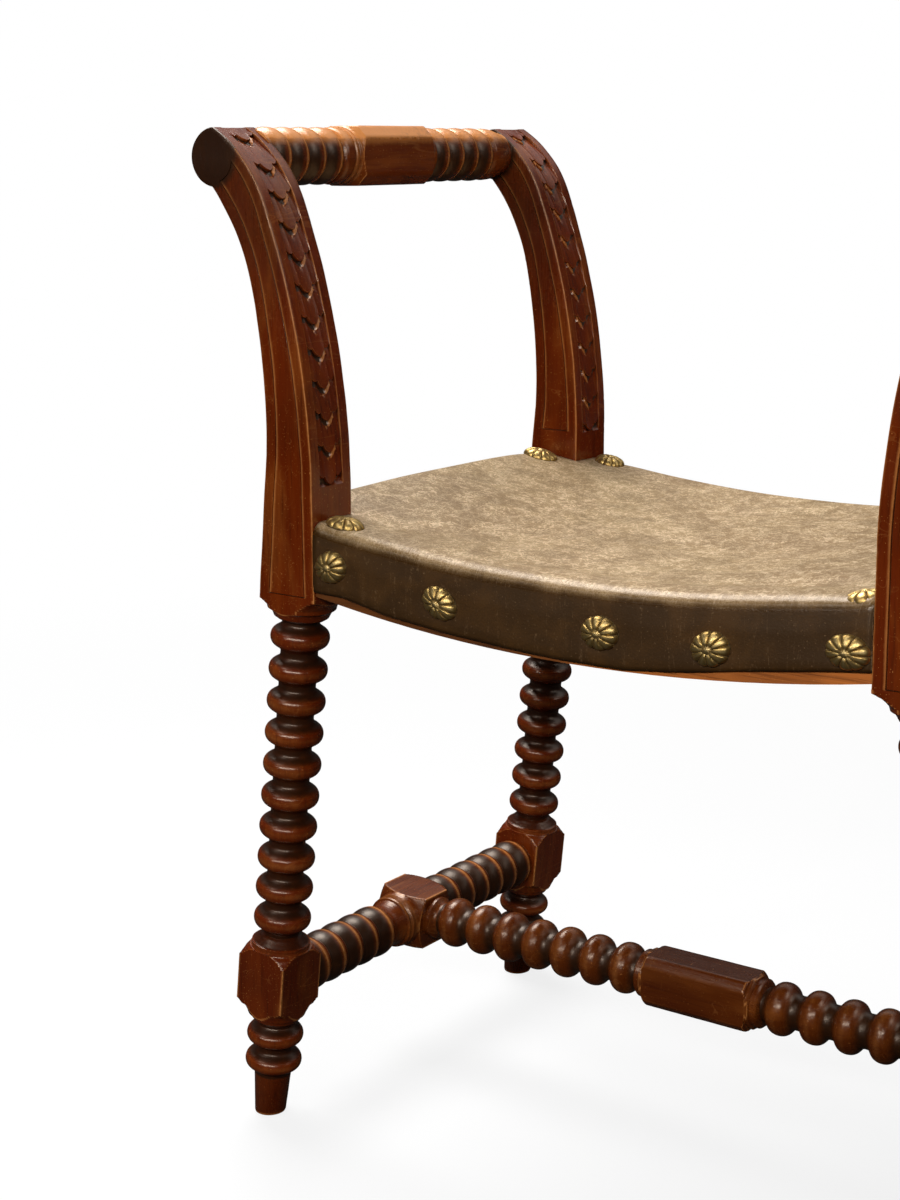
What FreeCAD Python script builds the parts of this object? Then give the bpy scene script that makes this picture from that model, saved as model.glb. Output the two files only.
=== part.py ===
import FreeCAD, Part
import math
import os

Vector = FreeCAD.Vector
Placement = FreeCAD.Placement
Rotation = FreeCAD.Rotation

# Driving sizes in millimetres. X runs across the bench, Y from front to back and Z up.
# The origin lies on the floor under the middle of the seat.

# Square stock, spread and lean of the four legs
stock = 45.0
leg_half_depth = 172.8
foot_half_spread = 292.9
leg_top_offset = 29.35

# Flats round every turned piece
turning_sides = 12

# Turned leg, heights taken along its leaning axis
foot_height = 34.5
foot_tip_radius = 12.3
foot_top_radius = 14.4
foot_bead_first = 46.3
foot_bead_pitch = 22.2
foot_bead_count = 2
lower_block_middle = 117.4
leg_bead_first = 170.0
leg_bead_pitch = 25.3
leg_bead_count = 10
leg_bead_radius = 21.8
leg_neck_radius = 14.2

# Curved arm post that grows out of the leg, and its scroll
post_foot_level = 425.0
post_foot_width = 52.2
seat_half_width = 216.2
scroll_half_spread = 300.0
scroll_level = 739.0
scroll_radius = 20.8
scroll_lip_angle = 6.0

# Arm rail between two scrolls
arm_block_length = 89.4
arm_block_offset = 7.3
arm_block_chamfer = 8.5
arm_band_pitch = 19.7
arm_band_count = 4
arm_crest_radius = 21.4
arm_valley_radius = 19.9
arm_end_radius = 17.5

# Side stretcher between two lower blocks
stretcher_level = 115.0
side_block_length = 39.5
side_front_pitch = 20.5
side_front_count = 5
side_back_count = 6
side_crest_radius = 20.6
side_valley_radius = 18.2

# Cross stretcher between the two side stretchers
cross_block_side = 40.0
cross_block_length = 86.0
cross_block_chamfer = 5.7
cross_shoulder_length = 11.3
cross_bead_count = 7
cross_bead_radius = 20.3
cross_neck_radius = 13.2
cross_collar_radius = 17.0
cross_collar_length = 9.95

# Seat frame
rail_thickness = 28.0
rail_height = 37.0
rail_bow = 18.5
rail_low_level = 411.2
side_rail_thickness = 26.0
side_rail_top = 473.5
side_face_width = 42.3
corner_leg = 60.0
corner_block_height = 18.0

# Joints
round_tenon_radius = 9.0
round_tenon_length = 20.0
rail_tenon_thickness = 12.0
rail_tenon_length = 21.5
side_tenon_thickness = 10.0
side_tenon_length = 19.5
tenon_height_share = 0.62
joint_clearance = 0.15
joint_end_gap = 0.8

# Upholstery
leather_thickness = 2.5
soft_gap = 0.3
edge_roll = 11.5
seat_edge_level = 466.0
seat_dip = 6.0
side_crown = 5.0
skirt_strip = 3.0
strap_width = 50.0
strap_thickness = 1.6
cross_strap_count = 5
cross_strap_pitch = 80.0
long_strap_count = 3
long_strap_pitch = 90.0
hessian_thickness = 0.8
hessian_margin = 8.0

# Rosette nails
nail_head_length = 29.0
nail_head_width = 21.5
nail_head_height = 6.5
nail_shank = 3.0
nail_length = 25.0
nail_sides = 8
side_nail_level = 455.0
side_nail_count = 4
corner_nail_inset = 16.0
side_corner_nail_inset = 18.0
corner_nail_sink = 5.0

# Reach past a face, for every cut and every fused end
overrun = 6.0
right_angle = 90.0

# Places worked out from the driving sizes
lean_share = (foot_half_spread - seat_half_width - leg_top_offset) / post_foot_level
lean = math.degrees(math.atan(lean_share))
post_inner_y = leg_half_depth - stock / 2
post_outer_y = leg_half_depth + stock / 2
post_rise = scroll_level + scroll_radius - post_foot_level
post_reach = scroll_half_spread - seat_half_width
stretcher_half_spread = foot_half_spread - stretcher_level * lean_share
rail_outer_y = post_outer_y - leather_thickness - soft_gap
rail_inner_y = rail_outer_y - rail_thickness
side_face_x = seat_half_width + side_face_width
side_rail_outer_x = side_face_x - leather_thickness - soft_gap
side_rail_inner_x = side_rail_outer_x - side_rail_thickness
strap_level = rail_low_level + rail_height + soft_gap

# Post outline: height as a share of the rise, outward place as a share of the reach. Each inner
# arc runs through one point to the next, and so does each outer arc from the scroll down.
inner_start_share = 0.224
inner_arc_shares = (((0.552, 0.112), (0.832, 0.43)), ((0.933, 0.665), (1.0, 1.0)))
outer_arc_shares = (((0.806, 0.825), (0.6546, 0.602)), ((0.478, 0.506), (0.311, 0.498)))
outer_foot_share = (0.155, 0.565)

# Turned shoulders: radius and height as shares of the stock, from the middle of the lower block
block_low_shares = ((0.367, -0.815), (0.447, -0.73), (0.48, -0.65), (0.54, -0.60),
                    (0.616, -0.47), (0.8, -0.395))
block_top_shares = ((0.8, 0.395), (0.633, 0.478), (0.524, 0.54), (0.489, 0.59),
                    (0.498, 0.645), (0.36, 0.70), (0.316, 0.8))
# The same under the square foot of the post, from its lowest corner
post_shoulder_shares = ((0.378, -0.39), (0.467, -0.32), (0.478, -0.245), (0.587, -0.118),
                        (0.76, 0.0), (1.0, 0.055), (1.0, 0.4))
post_neck_share = -0.45

# Flank of a bead between neck and crest: height over half its pitch, and rise over its depth
bead_flank_shares = (0.5, 0.66)

# Ends of the centre blocks: radius as a share of the side, distance past the flat as a share too
stretcher_shoulder_shares = ((0.8, -0.01), (0.60, 0.055), (0.50, 0.085), (0.44, 0.10))
stretcher_cove_shares = ((0.8, -0.01), (0.60, 0.055), (0.50, 0.085), (0.49, 0.15), (0.44, 0.17),
                         (0.47, 0.24), (0.40, 0.29), (0.37, 0.42), (0.40, 0.56))
arm_shoulder_shares = ((0.62, -0.06), (0.50, 0.0), (0.488, 0.04), (0.46, 0.055), (0.478, 0.105),
                       (0.45, 0.13))
cross_shoulder_shares = ((0.8, -0.05), (0.615, 0.0), (0.51, 0.07), (0.50, 0.11), (0.465, 0.13),
                         (0.47, 0.18))

# Places of the rosette nails: along the rail, and above its lower edge, as shares
front_nail_shares = ((-0.919, 0.73), (-0.474, 0.66), (0.123, 0.67), (0.5, 0.573), (0.93, 0.562))
head_ring_shares = ((1.0, 0.0), (0.6, 1.0))
shank_tip_share = 0.4

# Sections of the seat: across its flat width, and round its rolled ends
seat_station_shares = (-1.0, -0.66, -0.33, 0.0, 0.33, 0.66, 1.0)
roll_station_shares = (0.5, 1.0)
# Most of the height of a seat section that its rolled edge may take up
rim_share = 0.9


def save(node, shape):
    """Write one sub-part."""
    shape.exportStep("parts/" + node + ".step")


def group(shapes):
    """Put like pieces together as separate solids."""
    return Part.makeCompound(shapes)


def box(low, high):
    """A box between two corners."""
    size = high - low
    return Part.makeBox(size.x, size.y, size.z, low)


def mirrored_x(shape):
    """The same piece on the other side of the bench."""
    return shape.mirror(Vector(0, 0, 0), Vector(1, 0, 0))


def mirrored_y(shape):
    """The same piece at the other end of the depth."""
    return shape.mirror(Vector(0, 0, 0), Vector(0, 1, 0))


def moved(shape, place):
    """A copy of a shape at a placement."""
    copy = shape.copy()
    copy.Placement = place.multiply(copy.Placement)
    return copy


def polygon(points):
    """A flat face with straight edges."""
    return Part.Face(Part.makePolygon(points + points[:1]))


def ruled(rings):
    """A solid with flat walls between rings of as many points each, closed at both ends."""
    faces = [polygon(rings[0]), polygon(rings[-1])]
    for low, high in zip(rings, rings[1:]):
        for index in range(len(low)):
            faces.append(polygon([low[index - 1], low[index], high[index], high[index - 1]]))
    solid = Part.Solid(Part.Shell(faces))
    if solid.Volume < 0:
        solid.reverse()
    return solid


def ring(half_width, half_depth, level, sides):
    """Points round an oval in a level plane."""
    angles = [2 * math.pi * turn / sides for turn in range(sides)]
    return [Vector(half_width * math.cos(angle), half_depth * math.sin(angle), level)
            for angle in angles]


def turned(outline):
    """A turned solid round Z. The outline climbs from its first radius and height."""
    return ruled([ring(radius, radius, level, turning_sides) for radius, level in outline])


def beads(first, pitch, count, crest, neck):
    """Round beads that meet in deep necks, from the first neck to the last."""
    height_share, rise_share = bead_flank_shares
    reach = pitch / 2
    flank = neck + rise_share * (crest - neck)
    steps = [(neck, first - reach)]
    for turn in range(count):
        middle = first + turn * pitch
        steps += [(flank, middle - height_share * reach), (crest, middle),
                  (flank, middle + height_share * reach), (neck, middle + reach)]
    return steps


def bands(start, pitch, count, crest, valley):
    """Shallow bands that meet in sharp valleys, after the valley at the start."""
    steps = []
    for turn in range(count):
        low = start + turn * pitch
        steps += [(crest, low + pitch / 2), (valley, low + pitch)]
    return steps


def scaled(shares, size, level):
    """Turn shares of a size into radii and heights round a level."""
    return [(radius * size, level + height * size) for radius, height in shares]


def flipped(steps):
    """The same outline on the other side of height zero, in rising order."""
    return [(radius, -height) for radius, height in reversed(steps)]


def on_leg(shape, side_y):
    """Stand a shape that is turned round Z on the leaning axis of a left leg."""
    tilt = Rotation(Vector(0, 1, 0), lean)
    return moved(shape, Placement(Vector(-foot_half_spread, side_y, 0), tilt))


def along_y(shape, x, z, roll):
    """Lay a shape that is turned round Z along Y, rolled about Y by an angle."""
    lay = Rotation(Vector(1, 0, 0), -right_angle)
    return moved(shape, Placement(Vector(x, 0, z), Rotation(Vector(0, 1, 0), roll).multiply(lay)))


def along_x(shape, z):
    """Lay a shape that is turned round Z along X."""
    return moved(shape, Placement(Vector(0, 0, z), Rotation(Vector(0, 1, 0), right_angle)))


def square_bar(side, length, chamfer):
    """A square bar round Z, centred on the origin, with its long edges chamfered."""
    half = side / 2
    corner = Vector(half, half, length / 2)
    bar = box(corner.negative(), corner)
    if chamfer > 0:
        upright = [edge for edge in bar.Edges if abs(edge.Vertexes[0].Z - edge.Vertexes[1].Z) > half]
        bar = bar.makeChamfer(chamfer, upright)
    return bar


def turned_leg():
    """The leaning turned leg round Z: peg foot, two beads, square block, collar and ten beads."""
    top = post_foot_level / math.cos(math.radians(lean)) + post_neck_share * stock
    outline = [(foot_tip_radius, -overrun), (foot_top_radius, foot_height)]
    outline += beads(foot_bead_first, foot_bead_pitch, foot_bead_count, leg_bead_radius, leg_neck_radius)
    outline += scaled(block_low_shares, stock, lower_block_middle)
    outline += scaled(block_top_shares, stock, lower_block_middle)
    outline += beads(leg_bead_first, leg_bead_pitch, leg_bead_count, leg_bead_radius, leg_neck_radius)
    outline[-1] = (leg_neck_radius, top)
    outline.append((leg_neck_radius, top + overrun))
    blank = square_bar(stock, (top + overrun) * 2, 0)
    return turned(outline).common(blank)


def arc(start, middle, end):
    """An edge that bends from one point through a second to a third."""
    return Part.Arc(start, middle, end).toShape()


def line(start, end):
    """A straight edge."""
    return Part.LineSegment(start, end).toShape()


def post_outline():
    """The side view of the left arm post, closed by its scroll, as a face in the XZ plane."""
    foot = post_foot_level + post_neck_share * stock
    lip = math.radians(scroll_lip_angle)
    lip_point = Vector(-scroll_half_spread - scroll_radius * math.sin(lip), 0,
                       scroll_level - scroll_radius * math.cos(lip))

    def at(share):
        return Vector(-seat_half_width - share[1] * post_reach, 0, post_foot_level + share[0] * post_rise)

    inner_foot = Vector(-seat_half_width, 0, foot)
    here = at((inner_start_share, 0))
    edges = [line(inner_foot, here)]
    for middle, end in inner_arc_shares:
        edges.append(arc(here, at(middle), at(end)))
        here = at(end)
    edges.append(arc(here, Vector(-scroll_half_spread - scroll_radius, 0, scroll_level), lip_point))
    here = lip_point
    for middle, end in outer_arc_shares:
        edges.append(arc(here, at(middle), at(end)))
        here = at(end)
    outer_corner = Vector(-seat_half_width - post_foot_width, 0, post_foot_level)
    outer_foot = Vector(outer_corner.x, 0, foot)
    edges.append(arc(here, at(outer_foot_share), outer_corner))
    edges += [line(outer_corner, outer_foot), line(outer_foot, inner_foot)]
    return Part.Face(Part.Wire(edges))


def arm_post(side_y):
    """The square arm post with the turned shoulders under its foot."""
    post = post_outline().extrude(Vector(0, stock, 0))
    post.translate(Vector(0, side_y - stock / 2, 0))
    level = post_foot_level / math.cos(math.radians(lean))
    shoulder = [(leg_neck_radius, level + post_neck_share * stock - overrun),
                (leg_neck_radius, level + post_neck_share * stock)]
    shoulder += scaled(post_shoulder_shares, stock, level)
    middle = Vector(-seat_half_width - post_foot_width / 2, side_y, post_foot_level)
    reach = Vector(stock, stock, stock / 2)
    around = box(middle - reach, middle + Vector(stock, stock, overrun))
    return post.cut(around.cut(on_leg(turned(shoulder), side_y)))


def rail_height_at(x):
    """Lower edge of the bowed rails at a place across the seat."""
    return rail_low_level + rail_bow * (x / seat_half_width) ** 2


def tenon_levels(low):
    """Lowest and highest level of a seat rail tenon."""
    margin = rail_height * (1 - tenon_height_share) / 2
    return low + margin, low + rail_height - margin


def front_tenon(grow, end_gap):
    """Tenon of the front rail in the front left post, or its mortise when it is grown."""
    low, high = tenon_levels(rail_height_at(seat_half_width))
    middle = rail_outer_y - rail_thickness / 2
    half = rail_tenon_thickness / 2 + grow
    return box(Vector(-seat_half_width - rail_tenon_length - end_gap, -middle - half, low - grow),
               Vector(-seat_half_width + overrun, -middle + half, high + grow))


def side_tenon(grow, end_gap):
    """Tenon of the left rail in the front left post, or its mortise when it is grown."""
    low, high = tenon_levels(side_rail_top - rail_height)
    middle = side_rail_outer_x - side_rail_thickness / 2
    half = side_tenon_thickness / 2 + grow
    return box(Vector(-middle - half, -post_inner_y - side_tenon_length - end_gap, low - grow),
               Vector(-middle + half, -post_inner_y + overrun, high + grow))


def round_socket(x, z, roll):
    """Mortise for a round tenon, from the inner face into a front left post or block."""
    depth = round_tenon_length + joint_end_gap
    radius = round_tenon_radius + joint_clearance
    hole = turned([(radius, -post_inner_y - depth), (radius, -post_inner_y + overrun)])
    return along_y(hole, x, z, roll)


def front_left_leg_post():
    """One length of stock: the leaning turned leg below and the curved scrolled arm post above."""
    side_y = -leg_half_depth
    piece = on_leg(turned_leg(), side_y).fuse(arm_post(side_y))
    foot = Vector(-foot_half_spread, side_y, 0)
    hollows = [box(foot - Vector(stock, stock, stock), foot + Vector(stock, stock, 0)),
               front_tenon(joint_clearance, joint_end_gap), side_tenon(joint_clearance, joint_end_gap),
               round_socket(-scroll_half_spread, scroll_level, 0),
               round_socket(-stretcher_half_spread, stretcher_level, lean)]
    return piece.cut(hollows).removeSplitter()


def left_arm_rail():
    """Banded rail between two scrolls, with an eight-sided block near its middle."""
    low = -arm_block_offset - arm_block_length / 2
    high = -arm_block_offset + arm_block_length / 2
    end = post_inner_y
    outline = [(round_tenon_radius, -end - round_tenon_length), (round_tenon_radius, -end),
               (arm_valley_radius, -end)]
    outline += bands(-end, arm_band_pitch, arm_band_count, arm_crest_radius, arm_valley_radius)
    collar = (outline[-1][1] + low - arm_shoulder_shares[-1][1] * stock) / 2
    outline.append((arm_crest_radius, collar))
    shoulder = scaled(arm_shoulder_shares, stock, 0)
    outline += [(radius, low - height) for radius, height in reversed(shoulder)]
    outline += [(radius, high + height) for radius, height in shoulder]
    start = outline[-1][1]
    outline += bands(start, arm_band_pitch, arm_band_count, arm_crest_radius, arm_valley_radius)
    outline += [(arm_crest_radius, (outline[-1][1] + end) / 2), (arm_end_radius, end),
                (round_tenon_radius, end), (round_tenon_radius, end + round_tenon_length)]
    bar = square_bar(stock, (end + round_tenon_length) * 2, arm_block_chamfer)
    return along_y(turned(outline).common(bar), -scroll_half_spread, scroll_level, 0)


def left_side_stretcher():
    """Banded stretcher with a square block that takes the cross stretcher."""
    flat = side_block_length / 2
    end = post_inner_y
    outline = [(round_tenon_radius, -end - round_tenon_length), (round_tenon_radius, -end),
               (side_valley_radius, -end)]
    outline += bands(-end, side_front_pitch, side_front_count, side_crest_radius, side_valley_radius)
    outline += flipped(scaled(stretcher_cove_shares, stock, flat))
    outline += scaled(stretcher_shoulder_shares, stock, flat)
    pitch = (end - outline[-1][1]) / side_back_count
    outline += bands(outline[-1][1], pitch, side_back_count, side_crest_radius, side_valley_radius)
    outline += [(round_tenon_radius, end), (round_tenon_radius, end + round_tenon_length)]
    bar = square_bar(stock, (end + round_tenon_length) * 2, 0)
    stretcher = along_y(turned(outline).common(bar), -stretcher_half_spread, stretcher_level, lean)
    return stretcher.cut(cross_tenon(joint_clearance, joint_end_gap))


def block_face_x():
    """Place of the inner face of a side stretcher block at the level of its axis."""
    return stretcher_half_spread - stock / 2 / math.cos(math.radians(lean))


def cross_tenon(grow, end_gap):
    """Left tenon of the cross stretcher, or its mortise when it is grown."""
    radius = round_tenon_radius + grow
    face = -block_face_x()
    tenon = turned([(radius, face - round_tenon_length - end_gap), (radius, face + overrun)])
    return along_x(tenon, stretcher_level)


def cross_stretcher():
    """Beaded stretcher with a chamfered centre block, its collars cut to the leaning blocks."""
    flat = cross_block_length / 2
    face = block_face_x()
    shoulder = scaled(cross_shoulder_shares, cross_block_side, flat)
    start = flat + cross_shoulder_length
    pitch = (face - cross_collar_length - start) / cross_bead_count
    bar = square_bar(cross_block_side, (start + overrun) * 2, cross_block_chamfer)
    middle = turned(flipped(shoulder) + shoulder).common(bar)
    side = [shoulder[-1]]
    side += beads(start + pitch / 2, pitch, cross_bead_count, cross_bead_radius, cross_neck_radius)
    flare = face - (cross_collar_radius - cross_neck_radius) / 2
    side += [(cross_collar_radius, flare), (cross_collar_radius, face + overrun)]
    arm = turned(side)
    body = along_x(middle.fuse([arm, arm.mirror(Vector(0, 0, 0), Vector(0, 0, 1))]), stretcher_level)
    wall = box(Vector(-stock * 2, -stock, -stock), Vector(stock / 2, stock, stock))
    wall = moved(wall, Placement(Vector(-stretcher_half_spread, 0, stretcher_level),
                                 Rotation(Vector(0, 1, 0), lean)))
    tenon = cross_tenon(0, 0)
    body = body.cut([wall, mirrored_x(wall)])
    return body.fuse([tenon, mirrored_x(tenon)]).removeSplitter()


def bowed_strip(half_width, low_middle, low_end, high_middle, high_end):
    """A face in the XZ plane between two arcs that sink at the middle."""
    left_low = Vector(-half_width, 0, low_end)
    right_low = Vector(half_width, 0, low_end)
    left_high = Vector(-half_width, 0, high_end)
    right_high = Vector(half_width, 0, high_end)
    edges = [Part.Arc(left_low, Vector(0, 0, low_middle), right_low).toShape(),
             Part.LineSegment(right_low, right_high).toShape(),
             Part.Arc(right_high, Vector(0, 0, high_middle), left_high).toShape(),
             Part.LineSegment(left_high, left_low).toShape()]
    return Part.Face(Part.Wire(edges))


def front_seat_rail():
    """Bowed rail between the front posts, with a tenon at each end and its nail holes."""
    low = rail_low_level
    end = rail_height_at(seat_half_width)
    face = bowed_strip(seat_half_width, low, end, low + rail_height, end + rail_height)
    rail = face.extrude(Vector(0, rail_thickness, 0))
    rail.translate(Vector(0, -rail_outer_y, 0))
    tenon = front_tenon(0, 0)
    return rail.fuse(tenon).fuse(mirrored_x(tenon)).removeSplitter()


def left_seat_rail():
    """Straight rail between the left posts, its top sloped like the webbing that it carries."""
    slope = 2 * rail_bow * side_rail_outer_x / seat_half_width ** 2
    drop = slope * side_rail_thickness
    low = side_rail_top - rail_height
    corners = [Vector(-side_rail_outer_x, -post_inner_y, low),
               Vector(-side_rail_outer_x, -post_inner_y, side_rail_top),
               Vector(-side_rail_inner_x, -post_inner_y, side_rail_top - drop),
               Vector(-side_rail_inner_x, -post_inner_y, low)]
    face = Part.Face(Part.makePolygon(corners + corners[:1]))
    rail = face.extrude(Vector(0, post_inner_y * 2, 0))
    tenon = side_tenon(0, 0)
    return rail.fuse(tenon).fuse(mirrored_y(tenon)).removeSplitter()


def corner_block():
    """Glue block in the front left corner of the seat frame, notched round the post."""
    top = rail_height_at(seat_half_width - corner_leg) + rail_height - strap_thickness
    base = top - corner_block_height
    plan = [(seat_half_width, rail_inner_y), (seat_half_width - corner_leg, rail_inner_y),
            (side_rail_inner_x, post_inner_y - corner_leg), (side_rail_inner_x, post_inner_y),
            (seat_half_width, post_inner_y)]
    corners = [Vector(-x, -y, base) for x, y in plan]
    face = Part.Face(Part.makePolygon(corners + corners[:1]))
    return face.extrude(Vector(0, 0, corner_block_height))


def cross_straps():
    """Webbing straps from the front rail to the back rail."""
    straps = []
    half_length = rail_outer_y - rail_thickness / 2
    for turn in range(cross_strap_count):
        x = (turn - (cross_strap_count - 1) / 2) * cross_strap_pitch
        slope = math.degrees(math.atan(2 * rail_bow * x / seat_half_width ** 2))
        low = Vector(-strap_width / 2, -half_length, 0)
        strap = box(low, Vector(strap_width / 2, half_length, strap_thickness))
        level = rail_height_at(x) + rail_height + soft_gap
        straps.append(moved(strap, Placement(Vector(x, 0, level), Rotation(Vector(0, 1, 0), -slope))))
    return straps


def seat_deck_face(lift, thickness):
    """Bowed sheet from side rail to side rail, at a height above the cross straps."""
    half_width = side_rail_outer_x - side_rail_thickness / 2
    middle = strap_level + lift
    end = side_rail_top + lift - strap_thickness
    return bowed_strip(half_width, middle, end, middle + thickness, end + thickness)


def long_straps():
    """Webbing straps from side rail to side rail, over the cross straps."""
    straps = []
    for turn in range(long_strap_count):
        y = (turn - (long_strap_count - 1) / 2) * long_strap_pitch
        side_view = seat_deck_face(strap_thickness + soft_gap, strap_thickness)
        strap = side_view.extrude(Vector(0, strap_width, 0))
        strap.translate(Vector(0, y - strap_width / 2, 0))
        straps.append(strap)
    return straps


def post_notches(clearance):
    """Four blocks that stand where the posts pass the seat, grown by a clearance."""
    reach = stock * 3
    notch = box(Vector(-side_face_x - reach, -post_outer_y - reach, rail_low_level - reach),
                Vector(-seat_half_width + clearance, -post_inner_y + clearance, seat_edge_level + reach))
    return [notch, mirrored_x(notch), mirrored_y(notch), mirrored_x(mirrored_y(notch))]


def hessian_sheet():
    """Thin cloth over the webbing, notched at the posts."""
    half_depth = rail_outer_y - hessian_margin
    lift = (strap_thickness + soft_gap) * 2
    sheet = seat_deck_face(lift, hessian_thickness).extrude(Vector(0, half_depth * 2, 0))
    sheet.translate(Vector(0, -half_depth, 0))
    for notch in post_notches(soft_gap):
        sheet = sheet.cut(notch)
    return sheet


def seat_section(x, drop, inset, low):
    """Outline of the seat in a YZ plane: straight sides, rolled edges and a top that dips or crowns."""
    x_share = x / side_face_x
    edge = seat_edge_level + rail_bow * (x / seat_half_width) ** 2 - drop - inset
    middle = edge - seat_dip + (seat_dip + side_crown) * x_share ** 2
    half = post_outer_y - inset
    roll = min(edge_roll - inset, rim_share * (edge - low))
    bend = roll * (1 - math.cos(math.radians(right_angle / 2)))
    points = [Vector(x, -half, low), Vector(x, -half, edge - roll), Vector(x, -half + bend, edge - bend),
              Vector(x, -half + roll, edge), Vector(x, 0, middle), Vector(x, half - roll, edge),
              Vector(x, half - bend, edge - bend), Vector(x, half, edge - roll), Vector(x, half, low)]
    return Part.Wire([line(points[0], points[1]), arc(points[1], points[2], points[3]),
                      arc(points[3], points[4], points[5]), arc(points[5], points[6], points[7]),
                      line(points[7], points[8]), line(points[8], points[0])])


def seat_form(inset, low_at):
    """Solid under the crowned, dished top of the seat, with all four edges rolled over."""
    roll = edge_roll - inset
    flat = side_face_x - edge_roll
    stations = [(share * flat, 0) for share in seat_station_shares]
    for share in roll_station_shares:
        angle = math.radians(share * right_angle)
        reach = flat + roll * math.sin(angle)
        drop = roll * (1 - math.cos(angle))
        stations = [(-reach, drop)] + stations + [(reach, drop)]
    sections = [seat_section(x, drop, inset, low_at(x)) for x, drop in stations]
    return Part.makeLoft(sections, True, True)


def below_hem(x):
    """A level under the hem of the leather all over."""
    return rail_low_level - edge_roll


def pad_underside(x):
    """Level of the underside of the stuffing, just over the hessian."""
    lift = (strap_thickness + soft_gap) * 2 + hessian_thickness + soft_gap
    half_width = side_rail_outer_x - side_rail_thickness / 2
    rise = side_rail_top - strap_thickness - strap_level
    return strap_level + lift + rise * min(abs(x) / half_width, 1) ** 2


def skirt_trim():
    """Block below the hem of the leather: bowed at front and back, level at the sides."""
    depth = side_face_x + edge_roll
    bottom = rail_low_level - edge_roll * 2
    end = rail_height_at(seat_half_width) + skirt_strip
    low = rail_low_level + skirt_strip
    middle = bowed_strip(seat_half_width - soft_gap, bottom, bottom - soft_gap, low, end)
    trim = middle.extrude(Vector(0, depth * 2, 0))
    trim.translate(Vector(0, -depth, 0))
    side_low = side_rail_top - rail_height + skirt_strip
    side = box(Vector(-depth, -depth, bottom), Vector(-side_rail_outer_x + soft_gap, depth, side_low))
    return trim.fuse(side).fuse(mirrored_x(side))


def leather_cover(outer, inner):
    """One hide over the seat, notched round the posts, with a hanging edge on each side."""
    cover = outer.cut(inner)
    for notch in post_notches(soft_gap):
        cover = cover.cut(notch)
    return cover.cut(skirt_trim())


def seat_stuffing():
    """Stuffing between the hessian and the leather, full to the rolled edges."""
    pad = seat_form(leather_thickness + soft_gap, pad_underside)
    for notch in post_notches(soft_gap):
        pad = pad.cut(notch)
    return pad


def rosette_nail():
    """Oval domed head on a square tapered shank, its seat at the origin and its head up."""
    rings = []
    for size_share, height_share in head_ring_shares:
        half_length = nail_head_length / 2 * size_share
        half_width = nail_head_width / 2 * size_share
        rings.append(ring(half_length, half_width, nail_head_height * height_share, nail_sides))
    head = ruled(rings)
    tip = square_ring(nail_shank * shank_tip_share, -nail_length)
    return head.fuse(ruled([tip, square_ring(nail_shank, nail_head_height / 2)])).removeSplitter()


def square_ring(side, level):
    """Corners of a square in a level plane."""
    half = side / 2
    return [Vector(-half, -half, level), Vector(half, -half, level), Vector(half, half, level),
            Vector(-half, half, level)]


def nail_hole():
    """Square clearance hole for a nail at the origin."""
    side = nail_shank + joint_clearance * 2
    return ruled([square_ring(side, -nail_length - joint_end_gap), square_ring(side, overrun)])


def front_nail_places():
    """Placements of the nails on the front face of the seat."""
    places = []
    turn = Rotation(Vector(1, 0, 0), right_angle)
    for x_share, rise_share in front_nail_shares:
        x = x_share * seat_half_width
        level = rail_height_at(x) + rise_share * rail_height
        places.append(Placement(Vector(x, -post_outer_y - joint_clearance, level), turn))
    return places


def left_nail_places():
    """Placements of the nails on the left face of the seat."""
    places = []
    lay = Rotation(Vector(0, 1, 0), -right_angle).multiply(Rotation(Vector(0, 0, 1), right_angle))
    reach = post_inner_y - side_corner_nail_inset
    for turn in range(side_nail_count):
        y = -reach + 2 * reach * turn / (side_nail_count - 1)
        places.append(Placement(Vector(-side_face_x - joint_clearance, y, side_nail_level), lay))
    return places


def seat_top(form, x, y):
    """Height of the leather above a place on the floor."""
    line = Part.makeLine(Vector(x, y, rail_low_level), Vector(x, y, seat_edge_level + stock))
    return form.common(line).BoundBox.ZMax


def top_nail_places(form):
    """Placements of two nails beside each post, square to the leather."""
    beside = (seat_half_width - corner_nail_inset, leg_half_depth + corner_nail_sink)
    between = (side_face_x - side_corner_nail_inset, post_inner_y - side_corner_nail_inset)
    places = []
    for x, y in (beside, between):
        for side in (-1, 1):
            for end in (-1, 1):
                here = Vector(side * x, end * y, 0)
                level = seat_top(form, here.x, here.y)
                step = edge_roll / 4
                rise_x = seat_top(form, here.x + step, here.y) - seat_top(form, here.x - step, here.y)
                rise_y = seat_top(form, here.x, here.y + step) - seat_top(form, here.x, here.y - step)
                normal = Vector(-rise_x, -rise_y, 2 * step)
                normal.normalize()
                seat = Vector(here.x, here.y, level) + normal * joint_clearance
                places.append(Placement(seat, Rotation(Vector(0, 0, 1), normal)))
    return places


def driven(shape, places):
    """Cut the clearance holes of nails at their places."""
    for place in places:
        shape = shape.cut(moved(nail_hole(), place))
    return shape


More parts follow.
